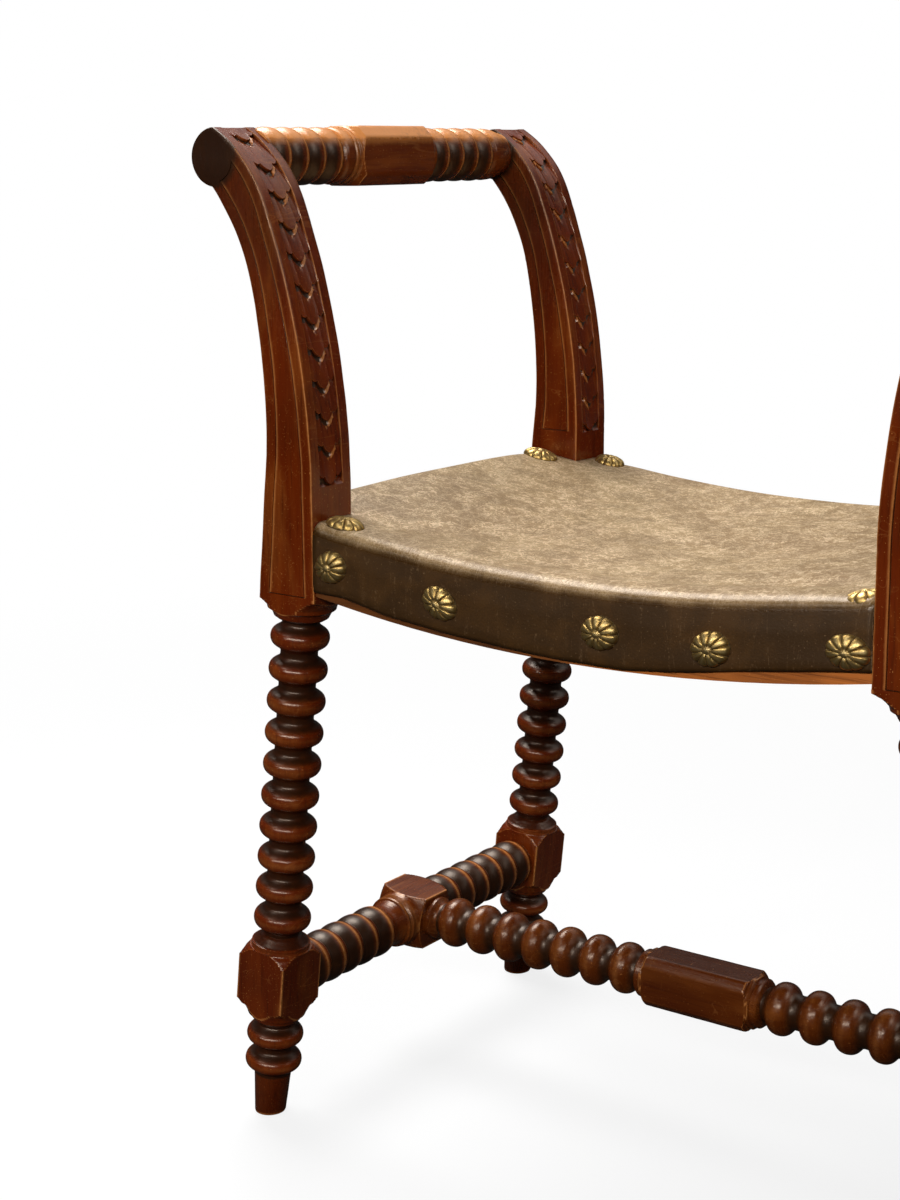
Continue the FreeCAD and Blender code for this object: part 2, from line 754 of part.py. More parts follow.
def main():
    os.makedirs("parts", exist_ok=True)
    outer_form = seat_form(0, below_hem)
    front_places = front_nail_places()
    left_places = left_nail_places()
    top_places = top_nail_places(outer_form)
    nail = rosette_nail()

    leg_post = front_left_leg_post()
    save("leg_post_front_left", leg_post)
    save("leg_post_front_right", mirrored_x(leg_post))
    save("leg_post_back_left", mirrored_y(leg_post))
    save("leg_post_back_right", mirrored_y(mirrored_x(leg_post)))

    arm_rail = left_arm_rail()
    save("arm_rail_left", arm_rail)
    save("arm_rail_right", mirrored_x(arm_rail))
    stretcher = left_side_stretcher()
    save("side_stretcher_left", stretcher)
    save("side_stretcher_right", mirrored_x(stretcher))
    save("cross_stretcher", cross_stretcher())

    front_rail = driven(front_seat_rail(), front_places + top_places)
    save("seat_rail_front", front_rail)
    save("seat_rail_back", mirrored_y(front_rail))
    left_rail = driven(left_seat_rail(), left_places + top_places)
    save("seat_rail_left", left_rail)
    save("seat_rail_right", mirrored_x(left_rail))
    block = corner_block()
    save("corner_block_front_left", block)
    save("corner_block_front_right", mirrored_x(block))
    save("corner_block_back_left", mirrored_y(block))
    save("corner_block_back_right", mirrored_x(mirrored_y(block)))

    save("webbing_cross", group(cross_straps()))
    save("webbing_long", group(long_straps()))
    save("hessian", driven(hessian_sheet(), top_places))
    save("seat_stuffing", driven(seat_stuffing(), top_places))
    cover = leather_cover(outer_form, seat_form(leather_thickness, below_hem))
    for places, mirror in ((front_places, mirrored_y), (left_places, mirrored_x)):
        for place in places:
            hole = moved(nail_hole(), place)
            cover = cover.cut(hole).cut(mirror(hole))
    save("leather_cover", driven(cover, top_places))

    front_nails = group([moved(nail, place) for place in front_places])
    save("nails_front", front_nails)
    save("nails_back", mirrored_y(front_nails))
    left_nails = group([moved(nail, place) for place in left_places])
    save("nails_left", left_nails)
    save("nails_right", mirrored_x(left_nails))
    save("nails_top", group([moved(nail, place) for place in top_places]))


main()
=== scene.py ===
import math
from functools import partialmethod

import bmesh
import bpy
import numpy as np
from bpy.props import FloatProperty, FloatVectorProperty, IntProperty, PointerProperty
from mathutils import Matrix, Vector, noise


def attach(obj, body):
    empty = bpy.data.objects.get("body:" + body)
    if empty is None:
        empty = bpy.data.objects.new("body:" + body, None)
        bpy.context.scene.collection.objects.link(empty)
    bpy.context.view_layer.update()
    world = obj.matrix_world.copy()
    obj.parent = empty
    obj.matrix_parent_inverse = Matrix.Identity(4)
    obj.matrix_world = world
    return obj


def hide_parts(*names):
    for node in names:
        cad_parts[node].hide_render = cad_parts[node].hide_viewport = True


bl_info = {"name": "Window bench with scrolled arms", "version": (1, 0, 0), "blender": (4, 5, 0),
    "location": "View3D > Sidebar > Bench", "description":
    "Dresses the packed frame of a turned and carved bench with a leather seat",
    "category": "Object",}

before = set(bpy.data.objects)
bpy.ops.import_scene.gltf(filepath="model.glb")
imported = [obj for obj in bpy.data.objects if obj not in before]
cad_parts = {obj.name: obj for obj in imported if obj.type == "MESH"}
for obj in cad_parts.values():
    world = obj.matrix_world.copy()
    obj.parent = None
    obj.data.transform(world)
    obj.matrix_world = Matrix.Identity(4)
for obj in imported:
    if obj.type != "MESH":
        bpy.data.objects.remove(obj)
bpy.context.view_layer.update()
BODY = "root"

# Sizes of the bench in millimetres, as the frame has them
MM = 0.001
STOCK = 45.0
LEG_HALF_DEPTH = 172.8
FOOT_HALF_SPREAD = 292.9
LEAN_SHARE = (292.9 - 216.2 - 29.35) / 425.0
LEAN = math.atan(LEAN_SHARE)
POST_OUTER_Y = LEG_HALF_DEPTH + STOCK / 2
POST_INNER_Y = LEG_HALF_DEPTH - STOCK / 2
POST_FOOT = 425.0
POST_FOOT_WIDTH = 52.2
SEAT_HALF_WIDTH = 216.2
SCROLL = np.array((-300.0, 739.0))
SCROLL_RADIUS = 20.8
STRETCHER_LEVEL = 115.0
STRETCHER_HALF_SPREAD = FOOT_HALF_SPREAD - STRETCHER_LEVEL * LEAN_SHARE
SIDE_FACE_X = 258.5
RAIL_LOW = 411.2
RAIL_HEIGHT = 37.0
RAIL_BOW = 18.5
SIDE_RAIL_OUTER_X = 255.7
SIDE_RAIL_TOP = 473.5
SIDE_RAIL_THICKNESS = 26.0
SEAT_EDGE = 466.0
EDGE_ROLL = 11.5
SEAT_DIP = 6.0
SIDE_CROWN = 5.0
# A distance that no wall of a turned piece comes near
FAR = 1000.0
# Wear of the edges of the posts, and their side columns from the first scribed line to the last
EDGE_WEAR = 0.42
LINED = slice(4, 13)


class WoodFinish(bpy.types.PropertyGroup):
    """Colours of the stained and waxed wood."""

    ground: FloatVectorProperty(name="Ground", description="Main colour of the stained wood",
        subtype="COLOR", default=(0.14, 0.0165, 0.001))
    streak: FloatVectorProperty(name="Streak", description="Lighter streaks along the grain",
        subtype="COLOR", default=(0.235, 0.042, 0.004))
    dark: FloatVectorProperty(name="Dark grain", description="Pores and dark streaks",
        subtype="COLOR", default=(0.055, 0.007, 0.001))
    # Bare wood on rubbed edges; the same colour also paints highlights on lit flanks, lips, facets
    # and the arm tops
    worn: FloatVectorProperty(name="Worn edge", description="Bare wood on rubbed edges and crests, also painted highlights",
        subtype="COLOR", default=(0.8, 0.31, 0.08))
    # Dark wax in the hollows; the same colour also paints shade on necks, flanks, carving and the
    # left end of the front rail
    wax_and_shade: FloatVectorProperty(name="Old wax and painted shade",
        description="Dark wax in the hollows, also painted shade", subtype="COLOR",
        default=(0.012, 0.0055, 0.0018))
    rail: FloatVectorProperty(name="Seat rail", description="Plain wood of the seat rails",
        subtype="COLOR", default=(0.52, 0.15, 0.026))


class SoftFinish(bpy.types.PropertyGroup):
    """Colours of the leather, the webbing and the stuffing."""

    leather: FloatVectorProperty(name="Leather", description="Leather where it isn't rubbed",
        subtype="COLOR", default=(0.04, 0.0155, 0.0016))
    rubbed: FloatVectorProperty(name="Rubbed leather",
        description="Leather where it is rubbed pale", subtype="COLOR",
        default=(0.245, 0.143, 0.055))
    cut: FloatVectorProperty(name="Cut edge", description="Raw edge of the hide", subtype="COLOR",
        default=(0.3, 0.19, 0.1))
    jute: FloatVectorProperty(name="Jute", description="Yarn of the webbing and the hessian",
        subtype="COLOR", default=(0.33, 0.23, 0.12))
    hair: FloatVectorProperty(name="Hair", description="Matted stuffing", subtype="COLOR",
        default=(0.12, 0.085, 0.05))


class BrassFinish(bpy.types.PropertyGroup):
    """Colours and shape of the rosette nails."""

    brass: FloatVectorProperty(name="Brass", description="Aged brass on the petals",
        subtype="COLOR", default=(0.55, 0.365, 0.12))
    patina: FloatVectorProperty(name="Patina", description="Brown patina between the petals",
        subtype="COLOR", default=(0.06, 0.032, 0.008))
    petals: IntProperty(name="Petals", description="Petals of one rosette", default=10, min=5,
        max=16)
    length: FloatProperty(name="Length", description="Longer side of a head", unit="LENGTH",
        default=0.029)
    width: FloatProperty(name="Width", description="Shorter side of a head", unit="LENGTH",
        default=0.023)
    height: FloatProperty(name="Height", description="How far a head stands proud", unit="LENGTH",
        default=0.0068)


class TurningSizes(bpy.types.PropertyGroup):
    """Sizes of the turned legs, rails and stretchers."""

    sides: IntProperty(name="Sides", description="Flats round a turned piece", default=96, min=16,
        max=128)
    leg_crest: FloatProperty(name="Leg bead", description="Radius of the leg beads", unit="LENGTH",
        default=0.0221)
    leg_neck: FloatProperty(name="Leg neck", description="Radius between the leg beads",
        unit="LENGTH", default=0.014)
    cross_crest: FloatProperty(name="Cross bead",
        description="Radius of the cross stretcher's beads", unit="LENGTH", default=0.0203)
    cross_neck: FloatProperty(name="Cross neck", description="Radius between those beads",
        unit="LENGTH", default=0.0132)
    worn_corner: FloatProperty(name="Worn corner", description="Rounding of the square corners",
        unit="LENGTH", default=0.0009)
    uneven: FloatProperty(name="Unevenness", description="How far the turning is from round",
        unit="LENGTH", default=0.00022)


class CarvingSizes(bpy.types.PropertyGroup):
    """Sizes of the carving on the arm posts."""

    margin: FloatProperty(name="Margin", description="Plain border beside a scribed line",
        unit="LENGTH", default=0.0094)
    line_depth: FloatProperty(name="Line depth", description="Depth of a scribed line",
        unit="LENGTH", default=0.0009)
    husk_pitch: FloatProperty(name="Husk pitch", description="Distance from husk to husk",
        unit="LENGTH", default=0.0229)
    husk_depth: FloatProperty(name="Husk depth",
        description="Depth of the ground under a husk's lip", unit="LENGTH", default=0.003)


class StageSettings(bpy.types.PropertyGroup):
    """Floor, lamps and camera."""

    key_power: FloatProperty(name="Overhead lamp", description="Power of the lamp above, in watts",
        default=58.0)
    window_power: FloatProperty(name="Low lamp", description="Power of the wide low lamp, in watts",
        default=34.0)
    fill_power: FloatProperty(name="Front lamp", description="Power of the lamp in front, in watts",
        default=5.0)
    rim_power: FloatProperty(name="Side lamp",
        description="Power of the lamp on the right, in watts", default=11.0)
    sky: FloatProperty(name="Room light", description="Strength of the even light all round",
        default=0.04)


def feed(tree, socket, value):
    """Join a socket to another one, or set it to a plain value. Colours come without alpha."""
    if isinstance(value, Field):
        value = value.socket
    if isinstance(value, bpy.types.NodeSocket):
        tree.links.new(value, socket)
    elif value is not None:
        socket.default_value = (*value, 1.0) if socket.type == "RGBA" else value


def add(tree, kind, inputs=None, **settings):
    """Add a node, set its properties and feed its inputs. Returns the node."""
    node = tree.nodes.new(kind)
    for name, value in settings.items():
        setattr(node, name, value)
    for key, value in (inputs or {}).items():
        feed(tree, node.inputs[key], value)
    return node


class Field:
    """A number that changes over a surface and takes part in sums like any other."""

    def __init__(self, tree, socket):
        self.tree = tree
        self.socket = socket

    def math(self, operation, *others):
        node = add(self.tree, "ShaderNodeMath", dict(enumerate((self, *others))),
            operation=operation)
        return Field(self.tree, node.outputs[0])

    __add__ = partialmethod(math, "ADD")
    __sub__ = partialmethod(math, "SUBTRACT")
    __mul__ = partialmethod(math, "MULTIPLY")
    __truediv__ = partialmethod(math, "DIVIDE")
    __pow__ = partialmethod(math, "POWER")
    least = partialmethod(math, "MINIMUM")
    most = partialmethod(math, "MAXIMUM")
    size = partialmethod(math, "ABSOLUTE")

    def ease(self, low, high):
        """0 below low, 1 above high and a smooth rise between."""
        node = add(self.tree, "ShaderNodeMapRange",
            {"Value": self, "From Min": low, "From Max": high}, interpolation_type="SMOOTHSTEP")
        return Field(self.tree, node.outputs["Result"])

    def fade(self, low, high):
        """1 below low, 0 above high and a smooth fall between."""
        return self.ease(low, high) * -1.0 + 1.0


def new_group(name, kind, takes, gives):
    """A node group with named sockets. A default given in place of a type sets both."""
    tree = bpy.data.node_groups.new(name, kind)
    types = {float: "Float", int: "Int", tuple: "Color"}
    for direction, sockets in (("INPUT", takes), ("OUTPUT", gives)):
        for label, given in sockets.items():
            made = types.get(type(given), given)
            socket = tree.interface.new_socket(label, in_out=direction,
                socket_type="NodeSocket" + made)
            if made != given:
                socket.default_value = (*given, 1.0) if made == "Color" else given
    start = tree.nodes.new("NodeGroupInput")
    end = tree.nodes.new("NodeGroupOutput")
    return tree, {label: Field(tree, start.outputs[label]) for label in takes}, end


def give(tree, end, **values):
    """Feed the outputs of a node group, and return the group."""
    for name, value in values.items():
        feed(tree, end.inputs[name], value)
    return tree


def placed(group, inputs):
    """Put a node group in a tree and return its outputs by name."""
    tree = inputs["Vector"].tree
    node = add(tree, "ShaderNodeGroup", inputs, node_tree=group)
    return {socket.name: Field(tree, socket) for socket in node.outputs}


def once(name):
    """The function that follows makes a node group, but only where there is none of the name."""
    def wrap(make):
        return lambda: bpy.data.node_groups.get(name) or make(name)
    return wrap


def mixed(share, first, second):
    """Two colours mixed by a share."""
    node = add(share.tree, "ShaderNodeMix", {0: share, 6: first, 7: second}, data_type="RGBA")
    return Field(share.tree, node.outputs[2])


def layered(colour, *layers):
    """A colour with others laid over it, each given as its share and itself."""
    for share, other in layers:
        colour = mixed(share, colour, other)
    return colour


def stretched(vector, scale, turn=(0.0, 0.0, 0.0)):
    """Coordinates turned and then stretched."""
    node = add(vector.tree, "ShaderNodeMapping", {"Vector": vector, "Rotation": turn,
        "Scale": scale})
    return Field(vector.tree, node.outputs[0])


def cloudy(vector, scale, detail=3.0, distortion=0.0, roughness=0.5):
    """Smooth noise between 0 and 1."""
    node = add(vector.tree, "ShaderNodeTexNoise",
        {"Vector": vector, "Scale": scale, "Detail": detail, "Distortion": distortion,
        "Roughness": roughness})
    return Field(vector.tree, node.outputs[0])


def parts_of(vector):
    """The three numbers of a vector."""
    node = add(vector.tree, "ShaderNodeSeparateXYZ", {0: vector})
    return [Field(vector.tree, socket) for socket in node.outputs]


def scaled(colour, amount):
    """A lighter or darker shade of a colour."""
    return tuple(min(1.0, value * amount) for value in colour)


@once("Long grain")
def grain_group(name):
    """Long grain: streaks and pores that run along the third coordinate."""
    tree, given, end = new_group(name, "ShaderNodeTree",
        {"Vector": "Vector", "Ground": (0.15, 0.03, 0.006), "Streak": (0.25, 0.06, 0.014),
        "Dark": (0.03, 0.007, 0.002), "Contrast": 1.0}, {"Color": "Color", "Height": "Float"})
    vector, contrast, dark = given["Vector"], given["Contrast"], given["Dark"]

    def long_clouds(squeeze, *settings):
        return cloudy(stretched(vector, (1.0, 1.0, squeeze)), *settings)

    broad = long_clouds(0.07, 70.0, 5.0, 0.6)
    fine = long_clouds(0.045, 420.0, 3.0)
    pores = long_clouds(0.03, 1500.0, 1.0)
    mottle = cloudy(vector, 14.0, 3.0, 0.4)
    bloom = long_clouds(0.3, 34.0, 4.0, 0.5)
    shade = (mottle.ease(0.4, 0.75) * 0.6) + (fine.ease(0.5, 0.76) * 0.65)
    colour = layered(given["Ground"], (broad.ease(0.4, 0.72) * contrast * 0.7, given["Streak"]),
        (bloom.ease(0.52, 0.7) * contrast * 0.42, (0.34, 0.095, 0.014)), (shade * contrast, dark),
        (pores.ease(0.6, 0.72) * 0.35, dark))
    return give(tree, end, Color=colour, Height=fine * 0.5 + (pores.ease(0.5, 0.72) * -0.6))


@once("Worn edges and painted light")
def wear_and_light_group(name):
    """Worn edges and painted light: rubbed edges show bare wood and hollows hold old wax, both
    broken up by noise; the same colours also paint highlights and shade.
    """
    tree, given, end = new_group(name, "ShaderNodeTree",
        {"Vector": "Vector", "Color": (0.1, 0.1, 0.1), "Worn": (0.5, 0.2, 0.08),
        "Wax and shade": (0.01, 0.004, 0.002), "Wear": 0.0, "Hollow": 0.0},
        {"Color": "Color", "Mask": "Float"})
    wear = given["Wear"]
    broken = cloudy(given["Vector"], 260.0, 4.0, 0.2, 0.65) - 0.5
    patchy = cloudy(given["Vector"], 26.0, 2.0) - 0.5
    mask = (wear + broken * 0.5 + patchy * 0.25).ease(0.66, 1.02)
    crest = (wear + broken * 0.3 + patchy * 0.45).ease(0.2, 0.85) * 0.42 * wear.ease(0.02, 0.3)
    # Darkening: old wax in the hollows, and painted shade where the hollow numbers carry it
    darkening = (given["Hollow"] + broken * 0.3).ease(0.1, 1.0)
    colour = layered(given["Color"], (crest.most(mask * 0.8), given["Worn"]),
        (darkening * 0.92, given["Wax and shade"]))
    return give(tree, end, Color=colour, Mask=mask - darkening * 0.5)


@once("Fine scratches")
def scratch_group(name):
    """Fine scratches: strokes that run three ways."""
    tree, given, end = new_group(name, "ShaderNodeTree",
        {"Vector": "Vector", "Scale": 90.0, "Density": 0.5}, {"Mask": "Float"})
    total = 0.0
    for angle, length in ((0.35, 0.1), (1.55, 0.14), (2.6, 0.08)):
        vector = stretched(given["Vector"], (1.0, length, 1.0), (0.3 * angle, 0.2, angle))
        strokes = (cloudy(vector, given["Scale"], 1.0) - 0.5).size().fade(0.003, 0.016)
        gaps = cloudy(stretched(vector, (1.0, 0.5, 1.0)), given["Scale"] * 0.5, 1.0)
        total = (strokes * (gaps + given["Density"] * 0.1).ease(0.56, 0.68)).most(total)
    return give(tree, end, Mask=total)


def new_material(name):
    """An empty node material. Returns it, its tree, its shader and its object coordinates."""
    material = bpy.data.materials.new(name)
    material.use_nodes = True
    tree = material.node_tree
    tree.nodes.clear()
    shader = add(tree, "ShaderNodeBsdfPrincipled")
    add(tree, "ShaderNodeOutputMaterial", {0: shader.outputs[0]})
    return material, tree, shader, Field(tree, add(tree, "ShaderNodeTexCoord").outputs["Object"])


def attribute(tree, name):
    """A number kept at each point of the mesh."""
    return Field(tree, add(tree, "ShaderNodeAttribute", attribute_name=name).outputs["Fac"])


def laid_flat(tree):
    """The flat place of each point of a sheet."""
    return Field(tree, add(tree, "ShaderNodeUVMap", uv_map="UVMap").outputs[0])


def coat(shader, colour, roughness, height=None, depth=0.0, specular=None, tint=None):
    """Feed a shader its colour, its roughness and a bump from a height."""
    tree = colour.tree
    if height is not None:
        bump = add(tree, "ShaderNodeBump", {"Height": height, "Distance": depth, "Strength": 1.0})
        feed(tree, shader.inputs["Normal"], bump.outputs[0])
    for name, value in (("Base Color", colour), ("Roughness", roughness),
            ("Specular IOR Level", specular), ("Specular Tint", tint)):
        feed(tree, shader.inputs[name], value)


def wood_material(name, turn, ground=None, streak=None, contrast=0.75, gloss=0.21, left_shadow=0.0):
    """Stained and waxed wood whose grain runs along Z once its coordinates are turned."""
    made = bpy.data.materials.get(name)
    if made:
        return made
    finish = bpy.context.scene.bench_wood
    material, tree, shader, place = new_material(name)
    along = stretched(place, (1.0, 1.0, 1.0), turn)
    grain = placed(grain_group(), {"Vector": along, "Ground": ground or finish.ground,
        "Streak": streak or finish.streak, "Dark": finish.dark, "Contrast": contrast})
    hollow = attribute(tree, "hollow")
    worn = placed(wear_and_light_group(), {"Vector": place, "Color": grain["Color"], "Worn": finish.worn,
        "Wax and shade": finish.wax_and_shade, "Wear": attribute(tree, "wear"), "Hollow": hollow})
    marks = placed(scratch_group(), {"Vector": place, "Scale": 80.0, "Density": 0.0})["Mask"]
    specks = cloudy(place, 900.0, 1.0).ease(0.7, 0.76)
    chips = (marks * 0.08).most(specks * 0.4) * (hollow * -1.0 + 1.0)
    colour = mixed(chips, worn["Color"], finish.worn)
    smudge = cloudy(place, 38.0, 3.0, 0.3)
    # Painted shadow: towards the left end the colour is mixed with the dark wax colour
    if left_shadow:
        left_shadow_share = parts_of(place)[0].ease(-0.12, 0.14) * -left_shadow + left_shadow
        colour = mixed(left_shadow_share, colour, finish.wax_and_shade)
    roughness = (smudge - 0.5) * 0.16 + grain["Height"] * 0.05 + worn["Mask"] * 0.1 + hollow * 0.18
    coat(shader, colour, roughness + gloss, grain["Height"] * 0.6 + smudge * 0.5 + marks * -0.15,
        0.0001, 0.6, (1.0, 0.82, 0.66))
    return material


# Turns that lay the grain along Z: of a piece that stands, lies crosswise or lies lengthwise
UPRIGHT, CROSSWISE, LENGTHWISE = (0.0, 0.0, 0.0), (0.0, math.pi / 2, 0.0), (math.pi / 2, 0.0, 0.0)


def upright_wood():
    return wood_material("Waxed wood upright", UPRIGHT)


def crosswise_wood():
    return wood_material("Waxed wood crosswise", CROSSWISE, (0.115, 0.022, 0.002),
        (0.2, 0.052, 0.008), gloss=0.25)


def lengthwise_wood():
    return wood_material("Waxed wood lengthwise", LENGTHWISE, (0.125, 0.02, 0.0016),
        (0.215, 0.048, 0.006), gloss=0.23)


def rail_wood(across):
    """Plain wood of the seat rails, with a painted shadow at the left end of those that lie
    crosswise.
    """
    rail = tuple(bpy.context.scene.bench_wood.rail)
    # dark sets the strength of the painted shadow at the left end
    name, turn, dark = ("crosswise", CROSSWISE, 0.75) if across else ("lengthwise", LENGTHWISE, 0.0)
    return wood_material("Plain rail wood " + name, turn, rail, scaled(rail, 1.7), contrast=0.7,
        gloss=0.42, left_shadow=dark)


@once("Curly hairlines")
def hairline_group(name):
    """Curly hairlines: short lines, as fine cracks leave on rubbed leather."""
    tree, given, end = new_group(name, "ShaderNodeTree", {"Vector": "Vector", "Scale": 150.0},
        {"Mask": "Float"})
    total = 0.0
    for turn, size, width in ((0.0, 1.0, 0.05), (0.9, 1.8, 0.09)):
        vector = stretched(given["Vector"], (1.0, 1.0, 1.0), (0.4 * turn, 0.2 * turn, turn))
        lines = (cloudy(vector, given["Scale"] * size, 1.0, 0.7) - 0.5).size().fade(0.0, width)
        gaps = cloudy(vector, given["Scale"] * (size * 0.6), 1.0).ease(0.44, 0.54)
        total = (lines * gaps).most(total)
    return give(tree, end, Mask=total)


def leather_material():
    """Old hide: dark where it hangs, rubbed pale and scratched where it is sat on."""
    finish = bpy.context.scene.bench_soft
    material, tree, shader, _ = new_material("Old leather")
    flat = laid_flat(tree)
    rub = attribute(tree, "rub")
    broad = cloudy(flat, 8.0, 3.0, 0.5)
    patch = cloudy(flat, 30.0, 5.0, 0.6, 0.62)
    speck = cloudy(flat, 780.0, 3.0, 0.0, 0.7)
    grit = cloudy(flat, 950.0, 2.0, 0.0, 0.6)
    hairs = placed(hairline_group(), {"Vector": flat})["Mask"]
    lit = (parts_of(flat)[0] + (broad - 0.5) * 0.25).ease(-0.05, 0.25) * -0.7 + 1.0
    strokes = placed(scratch_group(), {"Vector": flat, "Scale": 110.0, "Density": 0.8})["Mask"]
    cells = add(tree, "ShaderNodeTexVoronoi", {"Vector": warped(flat, 60.0, 0.01), "Scale": 150.0},
        feature="DISTANCE_TO_EDGE")
    crackle = Field(tree, cells.outputs["Distance"]).fade(0.0, 0.09) * (speck + 0.1).ease(0.45,
        0.65)
    patchy = (patch - 0.5) * 0.75 + (speck - 0.5) * 0.16
    pale = (rub + patchy * rub.ease(0.0, 0.3)).ease(0.22, 0.8)
    dark = mixed((patch * 0.85 + speck * 0.45).ease(0.56, 0.86) * 0.5, finish.leather,
        scaled(finish.leather, 2.4))
    # Pale patches lean towards the left end, where lit adds painted light; so do the grit and the
    # hairlines
    rubbed = patch * 0.8 + broad * 0.4 + speck * 0.9 + lit * 0.16 - 1.16
    curls = hairs * (lit * 0.3 + 0.5) * (patch.ease(0.38, 0.6) * 0.6 + 0.4) * rub.ease(0.6, 1.0)
    light = layered(finish.rubbed, (broad.ease(0.35, 0.72) * 0.6, (0.2, 0.125, 0.036)),
        (lit * -0.1 + 0.1, (0.13, 0.08, 0.024)), (patch.ease(0.36, 0.54) * -0.26 + 0.26,
        (0.15, 0.09, 0.032)), (rubbed.ease(-0.06, 0.2) * 0.65, (0.5, 0.34, 0.17)),
        (grit.ease(0.54, 0.62) * (lit * 0.35 + 0.1), (0.66, 0.47, 0.28)),
        (curls, (0.86, 0.66, 0.42)), (crackle * 0.3, (0.66, 0.48, 0.3)),
        (strokes * 0.35, (0.72, 0.53, 0.34)), (rub.ease(0.4, 1.0) * -0.65 + 0.65,
        (0.13, 0.07, 0.022)))
    chips = cloudy(flat, 520.0, 2.0, 0.0, 0.6).ease(0.66, 0.72)
    colour = layered(dark, (pale, light), ((chips * 0.3).most(hairs * chips.most(strokes) * 0.2),
        (0.4, 0.24, 0.12)))
    pebble = add(tree, "ShaderNodeTexVoronoi", {"Vector": flat, "Scale": 620.0, "Smoothness": 0.6},
        feature="SMOOTH_F1")
    grain = Field(tree, pebble.outputs["Distance"])
    roughness = (patch - 0.5) * 0.1 + (speck - 0.5) * 0.16 + rub.ease(0.55, 1.0) * 0.26
    coat(shader, colour, roughness - rub.ease(0.0, 0.25) * 0.26 + 0.5,
        grain * -0.5 + speck * 0.6 + strokes * rub * 0.4 + patch * rub, 0.0001, 0.55,
        (1.0, 0.88, 0.74))
    return material


def warped(vector, scale, amount):
    """Coordinates pushed about by noise."""
    tree = vector.tree
    clouds = add(tree, "ShaderNodeTexNoise", {"Vector": vector, "Scale": scale, "Detail": 2.0})
    shift = add(tree, "ShaderNodeVectorMath", {0: clouds.outputs["Color"], 3: amount},
        operation="SCALE")
    return add(tree, "ShaderNodeVectorMath", {0: vector, 1: shift.outputs[0]}).outputs[0]


def cut_edge_material():
    """Raw cut edge of the hide."""
    finish = bpy.context.scene.bench_soft
    material, _, shader, place = new_material("Cut leather edge")
    fibres = cloudy(place, 800.0, 4.0, 0.0, 0.7)
    soil = cloudy(place, 60.0, 3.0)
    colour = layered(finish.leather, (fibres.ease(0.35, 0.7), finish.cut),
        (soil.ease(0.45, 0.7) * 0.6, finish.leather))
    coat(shader, colour, fibres * 0.2 + 0.65, fibres, 0.0004)
    return material


def brass_material():
    """Aged brass: bright on the petals, brown between them."""
    finish = bpy.context.scene.bench_brass
    material, tree, shader, place = new_material("Aged brass")
    wear = attribute(tree, "wear")
    cloud = cloudy(place, 210.0, 4.0, 0.3, 0.6)
    speck = cloudy(place, 1300.0, 2.0)
    darkening = (attribute(tree, "hollow") + (cloud - 0.5) * 0.9 - wear * 0.25).ease(0.22, 0.78)
    colour = layered(finish.brass, (cloud.ease(0.4, 0.66) * 0.55, (0.26, 0.145, 0.045)),
        (wear.ease(0.55, 1.0) * 0.6, (0.62, 0.47, 0.22)), (darkening * 0.92, finish.patina))
    feed(tree, shader.inputs["Metallic"], darkening * -0.55 + 0.95)
    coat(shader, colour, darkening * 0.25 + (cloud - 0.5) * 0.2 + 0.4, cloud + speck * 0.35, 0.0003)
    return material


def yarn_material(name, pitch, plain=True):
    """Woven yarn, plain or twilled, with raised threads."""
    jute = bpy.context.scene.bench_soft.jute
    material, tree, shader, _ = new_material(name)
    flat = laid_flat(tree)
    fuzz = cloudy(flat, 1100.0, 3.0, 0.0, 0.7)
    slub = cloudy(stretched(flat, (1.0, 0.15, 1.0)), 180.0, 3.0)
    across, along = (part * (math.pi / pitch) for part in parts_of(flat)[:2])
    if not plain:
        across = across + along.math("FLOORED_MODULO", 2 * math.pi) * 0.5
    weave = across.math("SINE") * along.math("SINE")
    crossing = across.math("COSINE").size().most(along.math("COSINE").size())
    thread = crossing * 0.4 + weave.size() * 0.6
    gap = (thread * -1.0 + 1.0).ease(0.35, 0.95)
    colour = layered(jute, (slub.ease(0.35, 0.7) * 0.5, scaled(jute, 0.62)),
        (weave.ease(-0.4, 0.4) * 0.22, scaled(jute, 1.35)), (gap * 0.8, scaled(jute, 0.15)))
    coat(shader, colour, fuzz * 0.15 + 0.8, thread + fuzz * 0.35, pitch * 0.35)
    return material


def hair_material():
    """Matted horsehair stuffing."""
    finish = bpy.context.scene.bench_soft
    material, _, shader, place = new_material("Matted hair")
    strokes = placed(scratch_group(), {"Vector": place, "Scale": 240.0, "Density": 1.5})["Mask"]
    clumps = cloudy(place, 70.0, 4.0, 1.2)
    colour = layered(finish.hair, (clumps.ease(0.35, 0.7), scaled(finish.hair, 0.4)),
        (strokes * 0.6, (0.34, 0.26, 0.17)))
    coat(shader, colour, clumps * 0.1 + 0.85, clumps + strokes * 0.6, 0.0012)
    return material


def new_object(name, data):
    obj = bpy.data.objects.new(name, data)
    bpy.context.scene.collection.objects.link(obj)
    return obj


def dress(obj, slot, *nodes):
    """Make a finished piece ride with the bench and stand for its nodes."""
    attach(obj, BODY)
    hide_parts(*nodes)
    return obj


def new_mesh(name, points, faces=(), edges=()):
    mesh = bpy.data.meshes.new(name)
    mesh.from_pydata(*([tuple(item) for item in part] for part in (points, edges, faces)))
    return mesh


def keep_numbers(mesh, name, values):
    """Keep a number at each point of a mesh."""
    made = mesh.attributes.get(name) or mesh.attributes.new(name, "FLOAT", "POINT")
    made.data.foreach_set("value", np.asarray(values, np.float32))


def points_of(mesh):
    found = np.empty(len(mesh.vertices) * 3)
    mesh.vertices.foreach_get("co", found)
    return found.reshape(-1, 3)


def set_points(mesh, points):
    mesh.vertices.foreach_set("co", np.asarray(points, np.float32).ravel())
    mesh.update()


def numbers_of(mesh, name):
    found = np.empty(len(mesh.vertices), np.float32)
    mesh.attributes[name].data.foreach_get("value", found)
    return found


